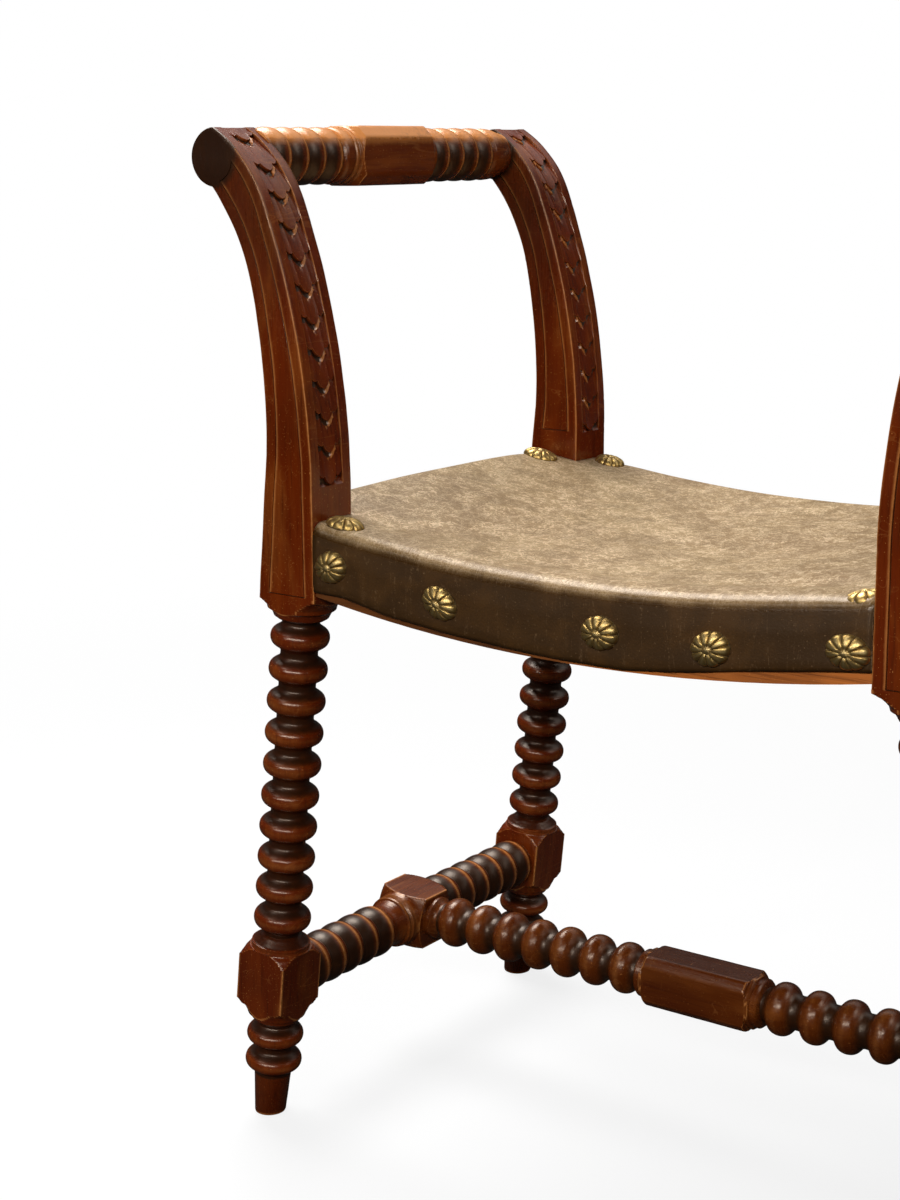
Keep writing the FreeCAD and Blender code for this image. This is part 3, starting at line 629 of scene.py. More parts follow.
def soften(mesh, angle):
    """Shade smooth, with edges past an angle left sharp, after its doubles are merged."""
    work = bmesh.new()
    work.from_mesh(mesh)
    bmesh.ops.remove_doubles(work, verts=work.verts, dist=0.00001)
    bmesh.ops.recalc_face_normals(work, faces=work.faces)
    for face in work.faces:
        face.smooth = True
    for edge in work.edges:
        edge.smooth = not (edge.is_manifold and edge.calc_face_angle(0.0) > angle)
    work.to_mesh(mesh)
    work.free()
    mesh.update()
    return mesh


X_AXIS, Y_AXIS = Vector((1, 0, 0)), Vector((0, 1, 0))


def turned_over(mesh, axis):
    """A mirrored copy of a mesh that still faces outwards."""
    copy = mesh.copy()
    copy.transform(Matrix.Scale(-1, 4, axis))
    copy.flip_normals()
    return copy


def shown(obj):
    """What shows of an object once its modifiers have run, as a plain mesh."""
    graph = bpy.context.evaluated_depsgraph_get()
    graph.update()
    return bpy.data.meshes.new_from_object(obj.evaluated_get(graph))


def settle(obj):
    """Apply the modifiers of an object, so that its mesh is what shows."""
    mesh = shown(obj)
    obj.modifiers.clear()
    obj.data = mesh


def grown(source, tree, inputs):
    """Run a node tree on a mesh and return the result as a plain mesh."""
    holder = new_object("work", source)
    modifier = holder.modifiers.new("tree", "NODES")
    modifier.node_group = tree
    for item in tree.interface.items_tree:
        if item.item_type == "SOCKET" and item.in_out == "INPUT" and item.name in inputs:
            modifier[item.identifier] = inputs[item.name]
    mesh = shown(holder)
    bpy.data.objects.remove(holder)
    return mesh


def named(tree, name, kind="FLOAT"):
    """A named attribute of the geometry."""
    node = add(tree, "GeometryNodeInputNamedAttribute", {"Name": name}, data_type=kind)
    return Field(tree, node.outputs["Attribute"])


def kept(tree, geometry, **values):
    """Store numbers at each point."""
    for name, value in values.items():
        geometry = add(tree, "GeometryNodeStoreNamedAttribute",
            {"Geometry": geometry, "Name": name, "Value": value}, data_type="FLOAT",
            domain="POINT").outputs[0]
    return geometry


def revolved(tree, rings, around):
    """A grid to wrap round Z, the ring of each of its points and its share of the way round."""
    grid = add(tree, "GeometryNodeMeshGrid", {"Size X": 1.0, "Size Y": 1.0, "Vertices X": rings,
        "Vertices Y": around + 1.0})
    index = Field(tree, add(tree, "GeometryNodeInputIndex").outputs[0])
    ring = ((index + 0.5) / (around + 1.0)).math("FLOOR")
    return grid.outputs[0], ring, (index - ring * (around + 1.0)) / around


def moved(tree, grid, x, y, z):
    """Move the points of a grid."""
    place = add(tree, "ShaderNodeCombineXYZ", {0: x, 1: y, 2: z})
    return add(tree, "GeometryNodeSetPosition", {"Geometry": grid,
        "Position": place.outputs[0]}).outputs[0]


def joined_up(tree, geometry):
    """Merge the points that lie on each other."""
    return add(tree, "GeometryNodeMergeByDistance",
        {"Geometry": geometry, "Distance": 0.00001}).outputs[0]


def closing(tree, end, geometry, material, angle=0.6):
    """Smooth shading with sharp edges, then instances made real and a material."""
    edges = add(tree, "GeometryNodeInputMeshEdgeAngle")
    sharp = add(tree, "FunctionNodeCompare", {0: edges.outputs[0], 1: angle},
        operation="GREATER_THAN")
    smooth = add(tree, "GeometryNodeSetShadeSmooth", {"Geometry": geometry, "Shade Smooth": True},
        domain="FACE")
    marked = add(tree, "GeometryNodeSetShadeSmooth",
        {"Geometry": smooth.outputs[0], "Selection": sharp.outputs[0], "Shade Smooth": False},
        domain="EDGE")
    real = add(tree, "GeometryNodeRealizeInstances", {"Geometry": marked.outputs[0]})
    coated = add(tree, "GeometryNodeSetMaterial",
        {"Geometry": real.outputs[0], "Material": material})
    return give(tree, end, Geometry=coated.outputs[0])


@once("Turned on the lathe")
def lathe_tree(name):
    """Turns an outline round Z. Walls cut the round section square where the outline has them."""
    tree, given, end = new_group(name, "GeometryNodeTree",
        {"Geometry": "Geometry", "Sides": 96, "Worn corner": 0.0008, "Unevenness": 0.0002,
        "Seed": 0.0, "Material": "Material"}, {"Geometry": "Geometry"})
    outline = given["Geometry"]
    count = add(tree, "GeometryNodeAttributeDomainSize", {"Geometry": outline}, component="MESH")
    grid, ring, turn = revolved(tree, count.outputs["Point Count"], given["Sides"])
    angle = turn * (-2 * math.pi)

    def read(label):
        node = add(tree, "GeometryNodeSampleIndex",
            {"Geometry": outline, "Value": named(tree, label), "Index": ring + 0.1},
            data_type="FLOAT", domain="POINT")
        return Field(tree, node.outputs[0])

    cosine, sine = angle.math("COSINE"), angle.math("SINE")
    near = 0.0001
    beside = (read("right") / cosine.most(near)).least(read("left") / (cosine * -1.0).most(near))
    front = read("side") / sine.size().most(near)
    corner = read("corner") / (cosine.size() + sine.size())
    round_part, height = read("radius"), read("height")
    flat = beside.least(front)
    radius = round_part
    for wall in (beside, front, corner):
        radius = radius.math("SMOOTH_MIN", wall, given["Worn corner"])
    spot = add(tree, "ShaderNodeCombineXYZ", {0: cosine * 0.02, 1: sine * 0.02, 2: height})
    bumpy = add(tree, "ShaderNodeTexNoise", {"Vector": spot.outputs[0], "W": given["Seed"],
        "Scale": 34.0, "Detail": 2.0}, noise_dimensions="4D")
    uneven = (Field(tree, bumpy.outputs[0]) - 0.5) * given["Unevenness"] * 2.0
    radius = radius + uneven * round_part.ease(0.0, 0.004)
    shape = moved(tree, grid, radius * cosine, radius * sine, height)
    cut = flat.least(corner)
    hidden = corner.math("LESS_THAN", flat)
    arris = ((beside - front).size() + hidden).least((corner - flat).size()).fade(0.0001, 0.001)
    arris = arris * cut.math("LESS_THAN", round_part)
    lip = (round_part - cut).size().ease(0.0001, 0.0007) * -0.85 + 0.85
    worn = arris.most(lip * cut.math("LESS_THAN", 0.1))
    shape = kept(tree, shape, wear=read("wear").most(worn), hollow=read("hollow"))
    return closing(tree, end, joined_up(tree, shape), given["Material"])


# Height of a bead over its neck, by the distance from its crest as a share of half the pitch
BEAD_FORM = ((0.0, 1.0), (0.12, 0.985), (0.22, 0.945), (0.3, 0.895), (0.37, 0.83), (0.43, 0.75),
    (0.49, 0.645), (0.545, 0.52), (0.6, 0.385), (0.65, 0.265), (0.7, 0.165), (0.76, 0.08),
    (0.82, 0.03), (0.88, 0.005), (1.0, 0.0))


class Outline:
    """Rings of a turned piece in millimetres, from one end to the other."""

    def __init__(self):
        self.rings = []

    def ring(self, radius, height, wear=0.0, hollow=0.0, half=FAR, corner=FAR, walls=None):
        """One ring. half is the distance of the square walls, corner that of the chamfers."""
        left, right = walls or (half, half)
        self.rings.append((radius, height, left, right, half, corner, wear, hollow))

    def run(self, steps, **settings):
        """Rings between steps of radius and height, a short way apart."""
        for radius, height in dense(steps, 0.8):
            self.ring(radius, height, **settings)

    def beads(self, first, pitch, count, crest, neck, dust_and_shade=0.0):
        """Round beads that sweep into thin necks. Crests are rubbed; necks and upper flanks are
        darkened for wax and dust, and as painted shade.
        """
        steps = 28
        shares, heights = zip(*BEAD_FORM)
        for turn in range(count):
            for step in range(steps):
                share = 2 * step / steps - 1
                near = float(np.interp(abs(share), shares, heights))
                radius = neck + (crest - neck) * near
                wear = max(0.0, (near - 0.86) / 0.14) * 0.36
                # Necks and upper flanks: wax and dust, and painted shade from the bead above
                hollow = max(0.0, 1 - near * 1.5) * 0.85
                if share > 0.3:
                    hollow = max(hollow, dust_and_shade * math.sin(math.pi * (share - 0.3) / 0.7))
                self.ring(radius, first + (turn + share / 2) * pitch, wear, hollow)

    def bands(self, start, pitch, count, crest, valley, highlight_shift=0.0):
        """Convex bands that meet in sharp valleys, with a painted highlight on the far flank and
        painted shade on the near one.
        """
        steps = 18
        for turn in range(count):
            for step in range(steps):
                share = 2 * step / steps - 1
                radius = crest - (crest - valley) * abs(share) ** 2.3
                # Painted highlight in the worn colour on the far flank
                wear = math.exp(-((share - highlight_shift) / 0.24) ** 2) * 0.92
                # The valleys are darkened; the near flank is painted shade
                hollow = max(0.0, (abs(share) - 0.9) / 0.1, min(1.0, (0.3 - share) / 0.5) * 0.88)
                self.ring(radius, start + (turn + 0.5 + share / 2) * pitch, wear, hollow)

    def mesh(self, name):
        """The outline as a chain of points that a node tree reads."""
        table = np.array(self.rings, float)
        mesh = new_mesh(name, [(0.0, 0.0, level * MM) for level in table[:, 1]],
            edges=[(ring, ring + 1) for ring in range(len(table) - 1)])
        names = ("radius", "height", "left", "right", "side", "corner", "wear", "hollow")
        for index, label in enumerate(names):
            scale = 1.0 if label in ("wear", "hollow") else MM
            keep_numbers(mesh, label, table[:, index] * scale)
        return mesh

    def turned(self, name, material, seed):
        """The turned piece as a plain mesh round Z."""
        sizes = bpy.context.scene.bench_turning
        return grown(self.mesh(name), lathe_tree(),
            {"Sides": sizes.sides, "Worn corner": sizes.worn_corner, "Unevenness": sizes.uneven,
            "Seed": float(seed), "Material": material})


def leg_outline():
    """Peg foot, two beads, stepped square block, ten beads and the shoulder of the post."""
    sizes = bpy.context.scene.bench_turning
    crest = sizes.leg_crest / MM
    neck = sizes.leg_neck / MM
    half = STOCK / 2
    outline = Outline()
    # Painted shade: the underside and the side of the peg foot are darkened near the floor
    outline.ring(0.0, 0.0, hollow=0.6)
    outline.ring(8.0, 0.0, hollow=0.5)
    outline.run([(11.0, 0.0), (11.9, 0.5), (12.35, 1.8)], wear=0.7)
    outline.run([(12.4, 3.0), (13.2, 16.0), (14.0, 29.0), (14.3, 33.5)], hollow=0.45)
    outline.beads(45.9, 22.2, 2, crest, neck, dust_and_shade=0.9)
    # The coves by the blocks and beads are darkened for wax and as painted shade, here and below
    outline.run([(neck + 0.3, 78.2), (16.2, 79.8), (17.4, 81.6)], hollow=0.7)
    low = [(19.3, 83.0), (20.4, 85.6), (20.8, 86.7), (22.6, 87.1), (23.3, 89.2), (25.4, 93.6),
        (26.2, 94.6), (28.4, 95.0), (30.2, 97.0), (32.2, 98.2), (40.0, 98.8)]
    outline.run(low, half=half)
    outline.run([(FAR, 99.0), (FAR, 134.4)], half=half)
    top = [(40.0, 134.6), (32.4, 135.0), (30.6, 136.2), (28.6, 138.4), (28.0, 139.0), (26.4, 141.2),
        (24.2, 142.8)]
    outline.run(top, half=half)
    outline.run([(23.9, 143.4), (22.6, 143.5), (22.3, 145.2), (22.6, 146.0), (22.4, 147.4)],
        wear=0.35)
    outline.run([(21.0, 148.0), (19.4, 149.6), (17.6, 151.2), (16.2, 152.7), (neck, 153.9)],
        hollow=0.7)
    outline.beads(166.6, 25.08, 10, crest, neck, dust_and_shade=0.9)
    outline.run([(neck, 405.0), (15.2, 405.6), (18.0, 407.0)], hollow=0.9)
    foot = [(20.6, 408.8), (21.8, 411.6), (23.0, 413.4), (25.6, 415.0), (26.2, 417.6),
        (28.6, 420.2), (31.5, 422.6), (37.5, 425.2), (45.0, 426.6)]
    for radius, height in dense(foot):
        centre = height * LEAN_SHARE - FOOT_HALF_SPREAD
        left = (centre + SEAT_HALF_WIDTH + POST_FOOT_WIDTH) / math.cos(LEAN)
        right = (-SEAT_HALF_WIDTH - centre) / math.cos(LEAN)
        outline.ring(radius, height, half=half, walls=(left, right))
    return outline


def dense(steps, gap=0.5):
    """The same steps with more between them."""
    found = []
    for (r0, h0), (r1, h1) in zip(steps, steps[1:]):
        parts = max(1, int(math.hypot(r1 - r0, h1 - h0) / gap))
        found += [(r0 + (r1 - r0) * part / parts, h0 + (h1 - h0) * part / parts) for part in
            range(parts)]
    return found + [steps[-1]]


def arc_points(start, middle, end, step=0.5):
    """Points along the arc from start through middle to end."""
    a, b, c = (np.array(point, float) for point in (start, middle, end))
    double = 2 * (a[0] * (b[1] - c[1]) + b[0] * (c[1] - a[1]) + c[0] * (a[1] - b[1]))
    squares = [point @ point for point in (a, b, c)]
    centre = np.array((squares[0] * (b[1] - c[1]) + squares[1] * (c[1] - a[1]) + squares[2] *
        (a[1] - b[1]), squares[0] * (c[0] - b[0]) + squares[1] * (a[0] - c[0]) + squares[2] *
        (b[0] - a[0]))) / double
    first, second, third = (math.atan2(*(point - centre)[::-1]) for point in (a, b, c))
    full = 2 * math.pi
    sweep = (third - first) % full
    if (second - first) % full > sweep:
        sweep -= full
    radius = np.linalg.norm(a - centre)
    count = max(2, int(abs(sweep) * radius / step))
    angles = first + sweep * np.arange(1, count + 1) / count
    return [centre + radius * np.array((math.cos(angle), math.sin(angle))) for angle in angles]


class Path:
    """A line in the side view that can be read at any length along it."""

    def __init__(self, points):
        self.points = np.array(points)
        steps = np.linalg.norm(np.diff(self.points, axis=0), axis=1)
        self.lengths = np.concatenate(((0.0,), np.cumsum(steps)))
        self.length = self.lengths[-1]

    def at(self, length):
        return np.stack([np.interp(length, self.lengths, self.points[:, axis]) for axis in (0, 1)],
            -1)

    def length_at_level(self, level):
        return np.interp(level, self.points[:, 1], self.lengths)

    def outward(self, length):
        """Unit normals on the right of the line as it climbs."""
        step = self.at(np.asarray(length) + 0.6) - self.at(np.asarray(length) - 0.6)
        step /= np.linalg.norm(step, axis=-1, keepdims=True)
        return np.stack((step[..., 1], -step[..., 0]), -1)


STATION_START = 427.2
INNER_ARCS = (((0.552, 0.112), (0.832, 0.43)), ((0.933, 0.665), (1.0, 1.0)))
OUTER_ARCS = (((0.806, 0.825), (0.6546, 0.602)), ((0.478, 0.506), (0.311, 0.498)),
    ((0.155, 0.565), (0.0, 0.0)))
LIP_ANGLE = math.radians(6.0)


def post_paths():
    """Inner and outer line of the left posts, both climbing, and where they meet each other."""
    rise = SCROLL[1] + SCROLL_RADIUS - POST_FOOT
    reach = -SCROLL[0] - SEAT_HALF_WIDTH

    def at(share):
        return np.array((-SEAT_HALF_WIDTH - share[1] * reach, POST_FOOT + share[0] * rise))

    here = at((0.224, 0.0))
    inner = [np.array((-SEAT_HALF_WIDTH, STATION_START)), here]
    for middle, end in INNER_ARCS:
        inner += arc_points(here, at(middle), at(end))
        here = at(end)
    lip = SCROLL - SCROLL_RADIUS * np.array((math.sin(LIP_ANGLE), math.cos(LIP_ANGLE)))
    here = lip
    outer = [here]
    for middle, end in OUTER_ARCS:
        finish = at(end)
        if end == (0.0, 0.0):
            finish = np.array((-SEAT_HALF_WIDTH - POST_FOOT_WIDTH, POST_FOOT))
        outer += arc_points(here, at(middle), finish)
        here = finish
    outer = [point for point in outer[::-1] if point[1] >= STATION_START]
    outer.insert(0, np.array((outer[0][0], STATION_START)))
    return Path(inner), Path(outer)


# Levels on the inner line and on the outer one that lie across the post from each other
ACROSS = ((427.2, 427.2), (510.0, 510.0), (560.0, 557.0), (612.0, 605.0), (650.0, 639.0),
    (687.5, 671.0), (721.0, 697.5), (748.6, 713.5), (759.8, 718.3))
HUSK_COUNT = 12
HUSK_FOOT = 508.8
TOP_HUSK_GAP = 29.6
PANEL_FOOT = 508.0
PANEL_HALF = 13.0
LONG_PANEL_FOOT = 427.95
SHORT_PANEL_FOOT = 510.0
PANEL_END_RADIUS = 17.5
# Lower edge of a husk: share of the panel's half width, and height over the tip of the tongue
HUSK_EDGE = ((0.0, 0.0), (0.1, 0.35), (0.2, 1.15), (0.3, 2.3), (0.4, 3.9), (0.47, 5.6), (0.51, 6.6),
    (0.54, 6.1), (0.6, 5.4), (0.7, 5.5), (0.8, 6.3), (0.9, 7.7), (1.0, 9.6))
HUSK_COLUMNS = (0.0, 0.08, 0.17, 0.27, 0.37, 0.45, 0.51, 0.56, 0.64, 0.74, 0.84, 0.93)
WALL = 0.35
ARRIS = 0.9
# Depth of a husk at its upper end, and the levels over which the front and back faces of the posts
# grow darker towards the top
HUSK_TOP = 0.15
DARKER_FROM, DARKER_REACH = 560.0, 130.0
NOISE_SEED = 7


def post_rows(inner, husks, panel_end):
    """Lengths along the inner line at which the post has a row of points."""
    rows = {0.0, inner.length}
    foot = inner.length_at_level(PANEL_FOOT)
    rows |= {foot, foot + WALL, foot - 3.0}
    rows |= {husk + gap for husk in husks for gap in (-WALL / 2, WALL / 2, 2.2, 5.0, 8.5, 12.5)}
    rows |= {husk - gap for husk in husks[1:] for gap in (1.4, 3.2, 4.4, 5.6, 7.6)}
    for level in (LONG_PANEL_FOOT, SHORT_PANEL_FOOT):
        line = inner.length_at_level(level)
        rows |= {line - 0.6, line, line + 0.6}
    rows |= {panel_end - 0.6, panel_end, panel_end + 0.6}
    rows |= {inner.length - gap for gap in (2.0, 5.0, 9.0, 14.0)}
    rows |= set(np.arange(4.0, foot - 4.0, 5.0))
    rows = sorted(rows)
    spaced = [rows[0]]
    for row in rows[1:]:
        if row - spaced[-1] > 0.12:
            spaced.append(row)
    return np.array(spaced)


def side_columns(margin):
    """Columns over a side face from its outer to its inner edge, as a length plus a share."""
    line = (margin - 0.6, margin, margin + 0.6)
    outer = (ARRIS, 3.2, 6.0, *line)
    middle = [(13.0 - 26.0 * share, share) for share in (0.0, 0.25, 0.5, 0.75, 1.0)]
    return [(value, 0.0) for value in outer] + middle + [(-value, 1.0) for value in outer[::-1]]


def front_left_post():
    """Points, wear and hollows of the carved post above the turned leg."""
    carving = bpy.context.scene.bench_carving
    margin = carving.margin / MM
    inner, outer = post_paths()
    pitch = carving.husk_pitch / MM
    first = inner.length_at_level(HUSK_FOOT)
    husks = [first + pitch * turn for turn in range(HUSK_COUNT - 1)]
    husks.append(husks[-1] + TOP_HUSK_GAP)
    inner_levels, outer_levels = zip(*ACROSS)
    pairs = (inner.length_at_level(inner_levels), outer.length_at_level(outer_levels))

    def across(lengths):
        """Points of the inner and the outer line at lengths along the inner one."""
        return inner.at(lengths), outer.at(np.interp(lengths, *pairs))

    columns = side_columns(margin)
    lengths = np.linspace(0, inner.length, 900)
    at_inner, at_outer = across(lengths)
    widths = np.linalg.norm(at_inner - at_outer, axis=1)
    ends = []
    for offset, share in columns:
        part = (offset + share * widths) / widths
        line = at_outer + (at_inner - at_outer) * part[:, None]
        outside = np.linalg.norm(line - SCROLL, axis=1) > PANEL_END_RADIUS
        ends.append(lengths[np.flatnonzero(outside)[-1]])
    ends = np.array(ends)
    panel_end = float(ends[LINED].mean())
    rows = post_rows(inner, husks, panel_end)

    side_shift = np.zeros(len(columns))
    side_shift[LINED] = ends[LINED] - panel_end
    first_line, last_line = LINED.start, LINED.stop - 1
    side_shift[first_line - 1] = side_shift[first_line]
    side_shift[last_line + 1] = side_shift[last_line]
    weight = np.interp(rows, (panel_end - 30, panel_end - 0.7, panel_end + 0.7, panel_end + 14),
        (0, 1, 1, 0))
    depth_line = carving.line_depth / MM

    def side_depths(foot_level):
        foot = inner.length_at_level(foot_level)
        depth = np.zeros((len(rows), len(columns)))
        inside = (rows > foot - 0.3) & (rows < panel_end + 0.3)
        depth[np.ix_(inside, (first_line, last_line))] = depth_line
        for line in (foot, panel_end):
            depth[np.abs(rows - line) < 0.3, LINED] = depth_line
        return depth

    loops, wear, hollow = [], [], []
    for side, foot_level in ((-1, LONG_PANEL_FOOT), (1, SHORT_PANEL_FOOT)):
        depth = side_depths(foot_level)
        parts = []
        for column, (offset, share) in enumerate(columns):
            length = np.clip(rows + side_shift[column] * weight, 0, inner.length)
            a, b = across(length)
            width = np.linalg.norm(a - b, axis=1)
            part = ((offset + share * width) / width)[:, None]
            place = b + (a - b) * part
            y = -LEG_HALF_DEPTH + side * (STOCK / 2 - depth[:, column])
            parts.append(np.stack((place[:, 0], y, place[:, 1]), -1))
        edge = np.zeros_like(depth)
        edge[:, (0, -1)] = EDGE_WEAR
        # Scribed lines: the groove is painted shade, and the lip beside it, stronger on one side, a
        # painted highlight
        groove = depth / depth_line
        lit_lips = np.zeros_like(depth)
        lit_lips[:, 1:-1] = np.maximum(groove[:, 2:] * 0.4, groove[:, :-2]) * (groove[:, 1:-1] < 0.5)
        loops.append(np.stack(parts, 1))
        wear.append(np.maximum(edge, lit_lips * 0.78))
        hollow.append(groove * 0.9)

    t_half = np.array(HUSK_COLUMNS)
    t = np.concatenate((-t_half[:0:-1], t_half))
    wall_share = 1.0 - WALL / PANEL_HALF
    t = np.concatenate(((-1.0, -wall_share), t, (wall_share, 1.0)))
    rim = np.array((ARRIS, 3.0, 5.6, 8.4))
    inner_y = np.concatenate((rim, STOCK / 2 + t * PANEL_HALF, STOCK - rim[::-1])) - STOCK / 2
    panel = inner_y / PANEL_HALF
    in_panel = np.abs(panel) < 0.999
    foot = inner.length_at_level(PANEL_FOOT)
    top = inner.length - 2.0
    lift = np.interp(np.abs(panel), *zip(*HUSK_EDGE)) * in_panel
    strength = np.interp(rows, (foot, husks[0], husks[-1], top), (0, 1, 1, 0.3))
    low = carving.husk_depth / MM
    edges = np.array(husks + [husks[-1] + pitch * 1.25])
    points = np.empty((len(rows), len(inner_y), 3))
    depth = np.zeros((len(rows), len(inner_y)))
    inner_wear_and_highlight = np.zeros_like(depth)
    inner_darkening = np.zeros_like(depth)
    for index, row in enumerate(rows):
        length = np.clip(row + lift * strength[index], 0, inner.length)
        if row > foot + 0.2:
            if row < husks[0] - 0.01:
                ground = low * 0.95
            else:
                cell = int(np.searchsorted(edges, row + 0.01) - 1)
                climb = 0.0
                if cell + 1 < len(edges):
                    climb = (edges[cell + 1] - row) / (edges[cell + 1] - edges[cell])
                    climb = min(1.0, max(0.0, climb))
                ground = low + (HUSK_TOP - low) * climb ** 0.75 + 0.35 * panel ** 2
                ground -= 0.3 * np.exp(-(panel / 0.25) ** 2) * (1 - climb)
            fade = np.interp(row, (top - 8.0, top), (1.0, 0.25))
            depth[index] = in_panel * ground * fade
            for edge in husks:
                gap = row - edge
                if 0 <= gap < 0.3:
                    inner_wear_and_highlight[index] = in_panel * 0.4
                # Painted shadow under each lip, reaching further down over the left half of the
                # panel
                if -0.3 < gap < 0:
                    inner_darkening[index] = in_panel * 0.95
                if -3.3 < gap < -0.3:
                    inner_darkening[index] = in_panel & (panel < 0.12)
                # Pale facets right of the tongue: raised a little, and given a painted highlight in
                # the worn colour
                if -4.6 < gap < -1.0:
                    facet = (panel > 0.12) & (panel < 0.6)
                    inner_wear_and_highlight[index] = facet * 0.8
                    depth[index] -= facet * 1.5
                # The nib is incised and given a painted highlight
                if -7.0 < gap < -2.5:
                    nib = np.exp(-(panel / 0.07) ** 2) * (1 - abs(gap + 4.4) / 3.0)
                    depth[index] += np.maximum(nib, 0) * 0.8
                    inner_wear_and_highlight[index] = np.maximum(inner_wear_and_highlight[index], nib * 0.9)
        points[index, :, 0::2] = inner.at(length) - inner.outward(length) * depth[index][:, None]
        points[index, :, 1] = inner_y - LEG_HALF_DEPTH
    # The panel walls are painted darker where they are deep
    wall_columns = np.isclose(np.abs(panel), wall_share, atol=0.01)
    inner_darkening[:, wall_columns] = np.maximum(inner_darkening[:, wall_columns],
        (depth[:, wall_columns] > 0.3) * 0.55)
    rim_columns = np.isclose(np.abs(panel), 1.0, atol=0.01)
    inner_wear_and_highlight[:, rim_columns] = (rows > foot)[:, None] * (0.45, 0.7)
    inner_wear_and_highlight[:, (0, -1)] = EDGE_WEAR

    at_inner, at_outer = across(rows)
    outer_y = np.array((STOCK - ARRIS, 37.0, 28.0, 17.0, 8.0, ARRIS)) - STOCK / 2 - LEG_HALF_DEPTH
    outer_points = np.empty((len(rows), len(outer_y), 3))
    outer_points[..., 0::2] = at_outer[:, None]
    outer_points[..., 1] = outer_y
    outer_wear = np.zeros(outer_points.shape[:2])
    outer_wear[:, (0, -1)] = EDGE_WEAR

    def corner(line, y, other):
        """Rounded corner between two faces."""
        toward = other - line
        toward /= np.linalg.norm(toward, axis=1, keepdims=True)
        place = line + toward * ARRIS * 0.3
        inward = np.sign(-LEG_HALF_DEPTH - y) * ARRIS * 0.3
        return np.stack((place[:, 0], np.full(len(rows), y + inward), place[:, 1]), -1)[:, None]

    front_y, back_y = -POST_OUTER_Y, -POST_INNER_Y
    full = np.ones((len(rows), 1))
    none = np.zeros((len(rows), 1))
    body = np.concatenate((corner(at_outer, front_y, at_inner), loops[0],
        corner(at_inner, front_y, at_outer), points, corner(at_inner, back_y, at_outer),
        loops[1][:, ::-1], corner(at_outer, back_y, at_inner), outer_points), 1)
    worn = np.concatenate((full, wear[0], full, inner_wear_and_highlight, full, wear[1][:, ::-1], full,
        outer_wear), 1)
    post_darkening = np.concatenate((none, hollow[0], none, inner_darkening, none, hollow[1][:, ::-1], none,
        np.zeros_like(outer_wear)), 1)
    last = body[-1]
    direction = at_inner[-1] - at_outer[-1]
    share = ((last[:, (0, 2)] - at_outer[-1]) @ direction) / (direction @ direction)
    turns = 16
    fan = []
    for turn in range(1, turns + 1):
        swing = math.sin(math.pi / 2 * turn / turns) if turn < turns else 1.0
        angles = np.array((math.pi / 2 * (1 + swing),
            -math.pi / 2 - LIP_ANGLE - (math.pi / 2 - LIP_ANGLE) * swing))
        a, b = SCROLL + SCROLL_RADIUS * np.stack((np.cos(angles), np.sin(angles)), -1)
        place = b + (a - b) * np.clip(share, 0, 1)[:, None]
        fan.append(np.stack((place[:, 0], last[:, 1], place[:, 1]), -1))
    body = np.concatenate((body, np.array(fan)))
    worn = np.concatenate((worn, np.repeat(worn[-1:], turns, 0)))
    post_darkening = np.concatenate((post_darkening, np.zeros((turns, post_darkening.shape[1]))))
    # The disc at the scroll end and the upper part of the front and back faces are painted darker
    beside = np.abs(body[..., 1] + LEG_HALF_DEPTH) > STOCK / 2 - 2.0
    off = np.hypot(body[..., 0] - SCROLL[0], body[..., 2] - SCROLL[1])
    disc = np.clip((SCROLL_RADIUS + 1.5 - off) / 1.5, 0, 1) * beside
    upper_darkening = np.clip((body[..., 2] - DARKER_FROM) / DARKER_REACH, 0, 1) * beside
    post_darkening = np.maximum(post_darkening, np.maximum(disc * 0.95, upper_darkening * 0.55))
    return body, worn, post_darkening


def roughened(points, wear):
    """Small hand-made unevenness, with nicks along the worn edges."""
    # Without a seed noise_vector gives other values in each run
    noise.seed_set(NOISE_SEED)
    moved_points = points.copy()
    for index, point in enumerate(points):
        shift = noise.noise_vector(Vector(point) * 0.045) * 0.28
        if wear[index] > 0.9:
            nick = noise.noise(Vector(point) * 0.3) * 1.4 - 0.55
            shift += Vector((-0.35, 0.35, 0.0)) * max(0.0, nick)
        moved_points[index] += shift
    return moved_points


def leg_post_mesh():
    """The whole front left leg and arm post as one closed skin, in metres."""
    material = upright_wood()
    turned = leg_outline().turned("leg outline", material, 3)
    points = points_of(turned) / MM
    level = points[:, 2]
    tilt = np.clip(level / 22.0, 0, 1) * np.clip((426.6 - level) / 16.0, 0, 1)
    leaning = np.stack((points[:, 0] * math.cos(LEAN) + level * LEAN_SHARE - FOOT_HALF_SPREAD,
        points[:, 1] - LEG_HALF_DEPTH, level - points[:, 0] * math.sin(LEAN) * tilt), -1)
    faces = [tuple(face.vertices) for face in turned.polygons]

    body, worn, post_darkening = front_left_post()
    row_count, column_count = body.shape[:2]
    post = roughened(body.reshape(-1, 3), worn.ravel())
    start = len(leaning)
    for row in range(row_count - 1):
        for column in range(column_count):
            here = start + row * column_count + column
            beside = start + row * column_count + (column + 1) % column_count
            faces.append((here, beside, beside + column_count, here + column_count))
    rim = np.flatnonzero(level > level.max() - 0.01)
    faces += stitched(leaning, rim, post, np.arange(column_count), start)

    mesh = new_mesh("leg post", np.concatenate((leaning, post)) * MM, faces)
    for label, values in (("wear", worn), ("hollow", post_darkening)):
        keep_numbers(mesh, label, np.concatenate((numbers_of(turned, label), values.ravel())))
    mesh.materials.append(material)
    return soften(mesh, 0.5)


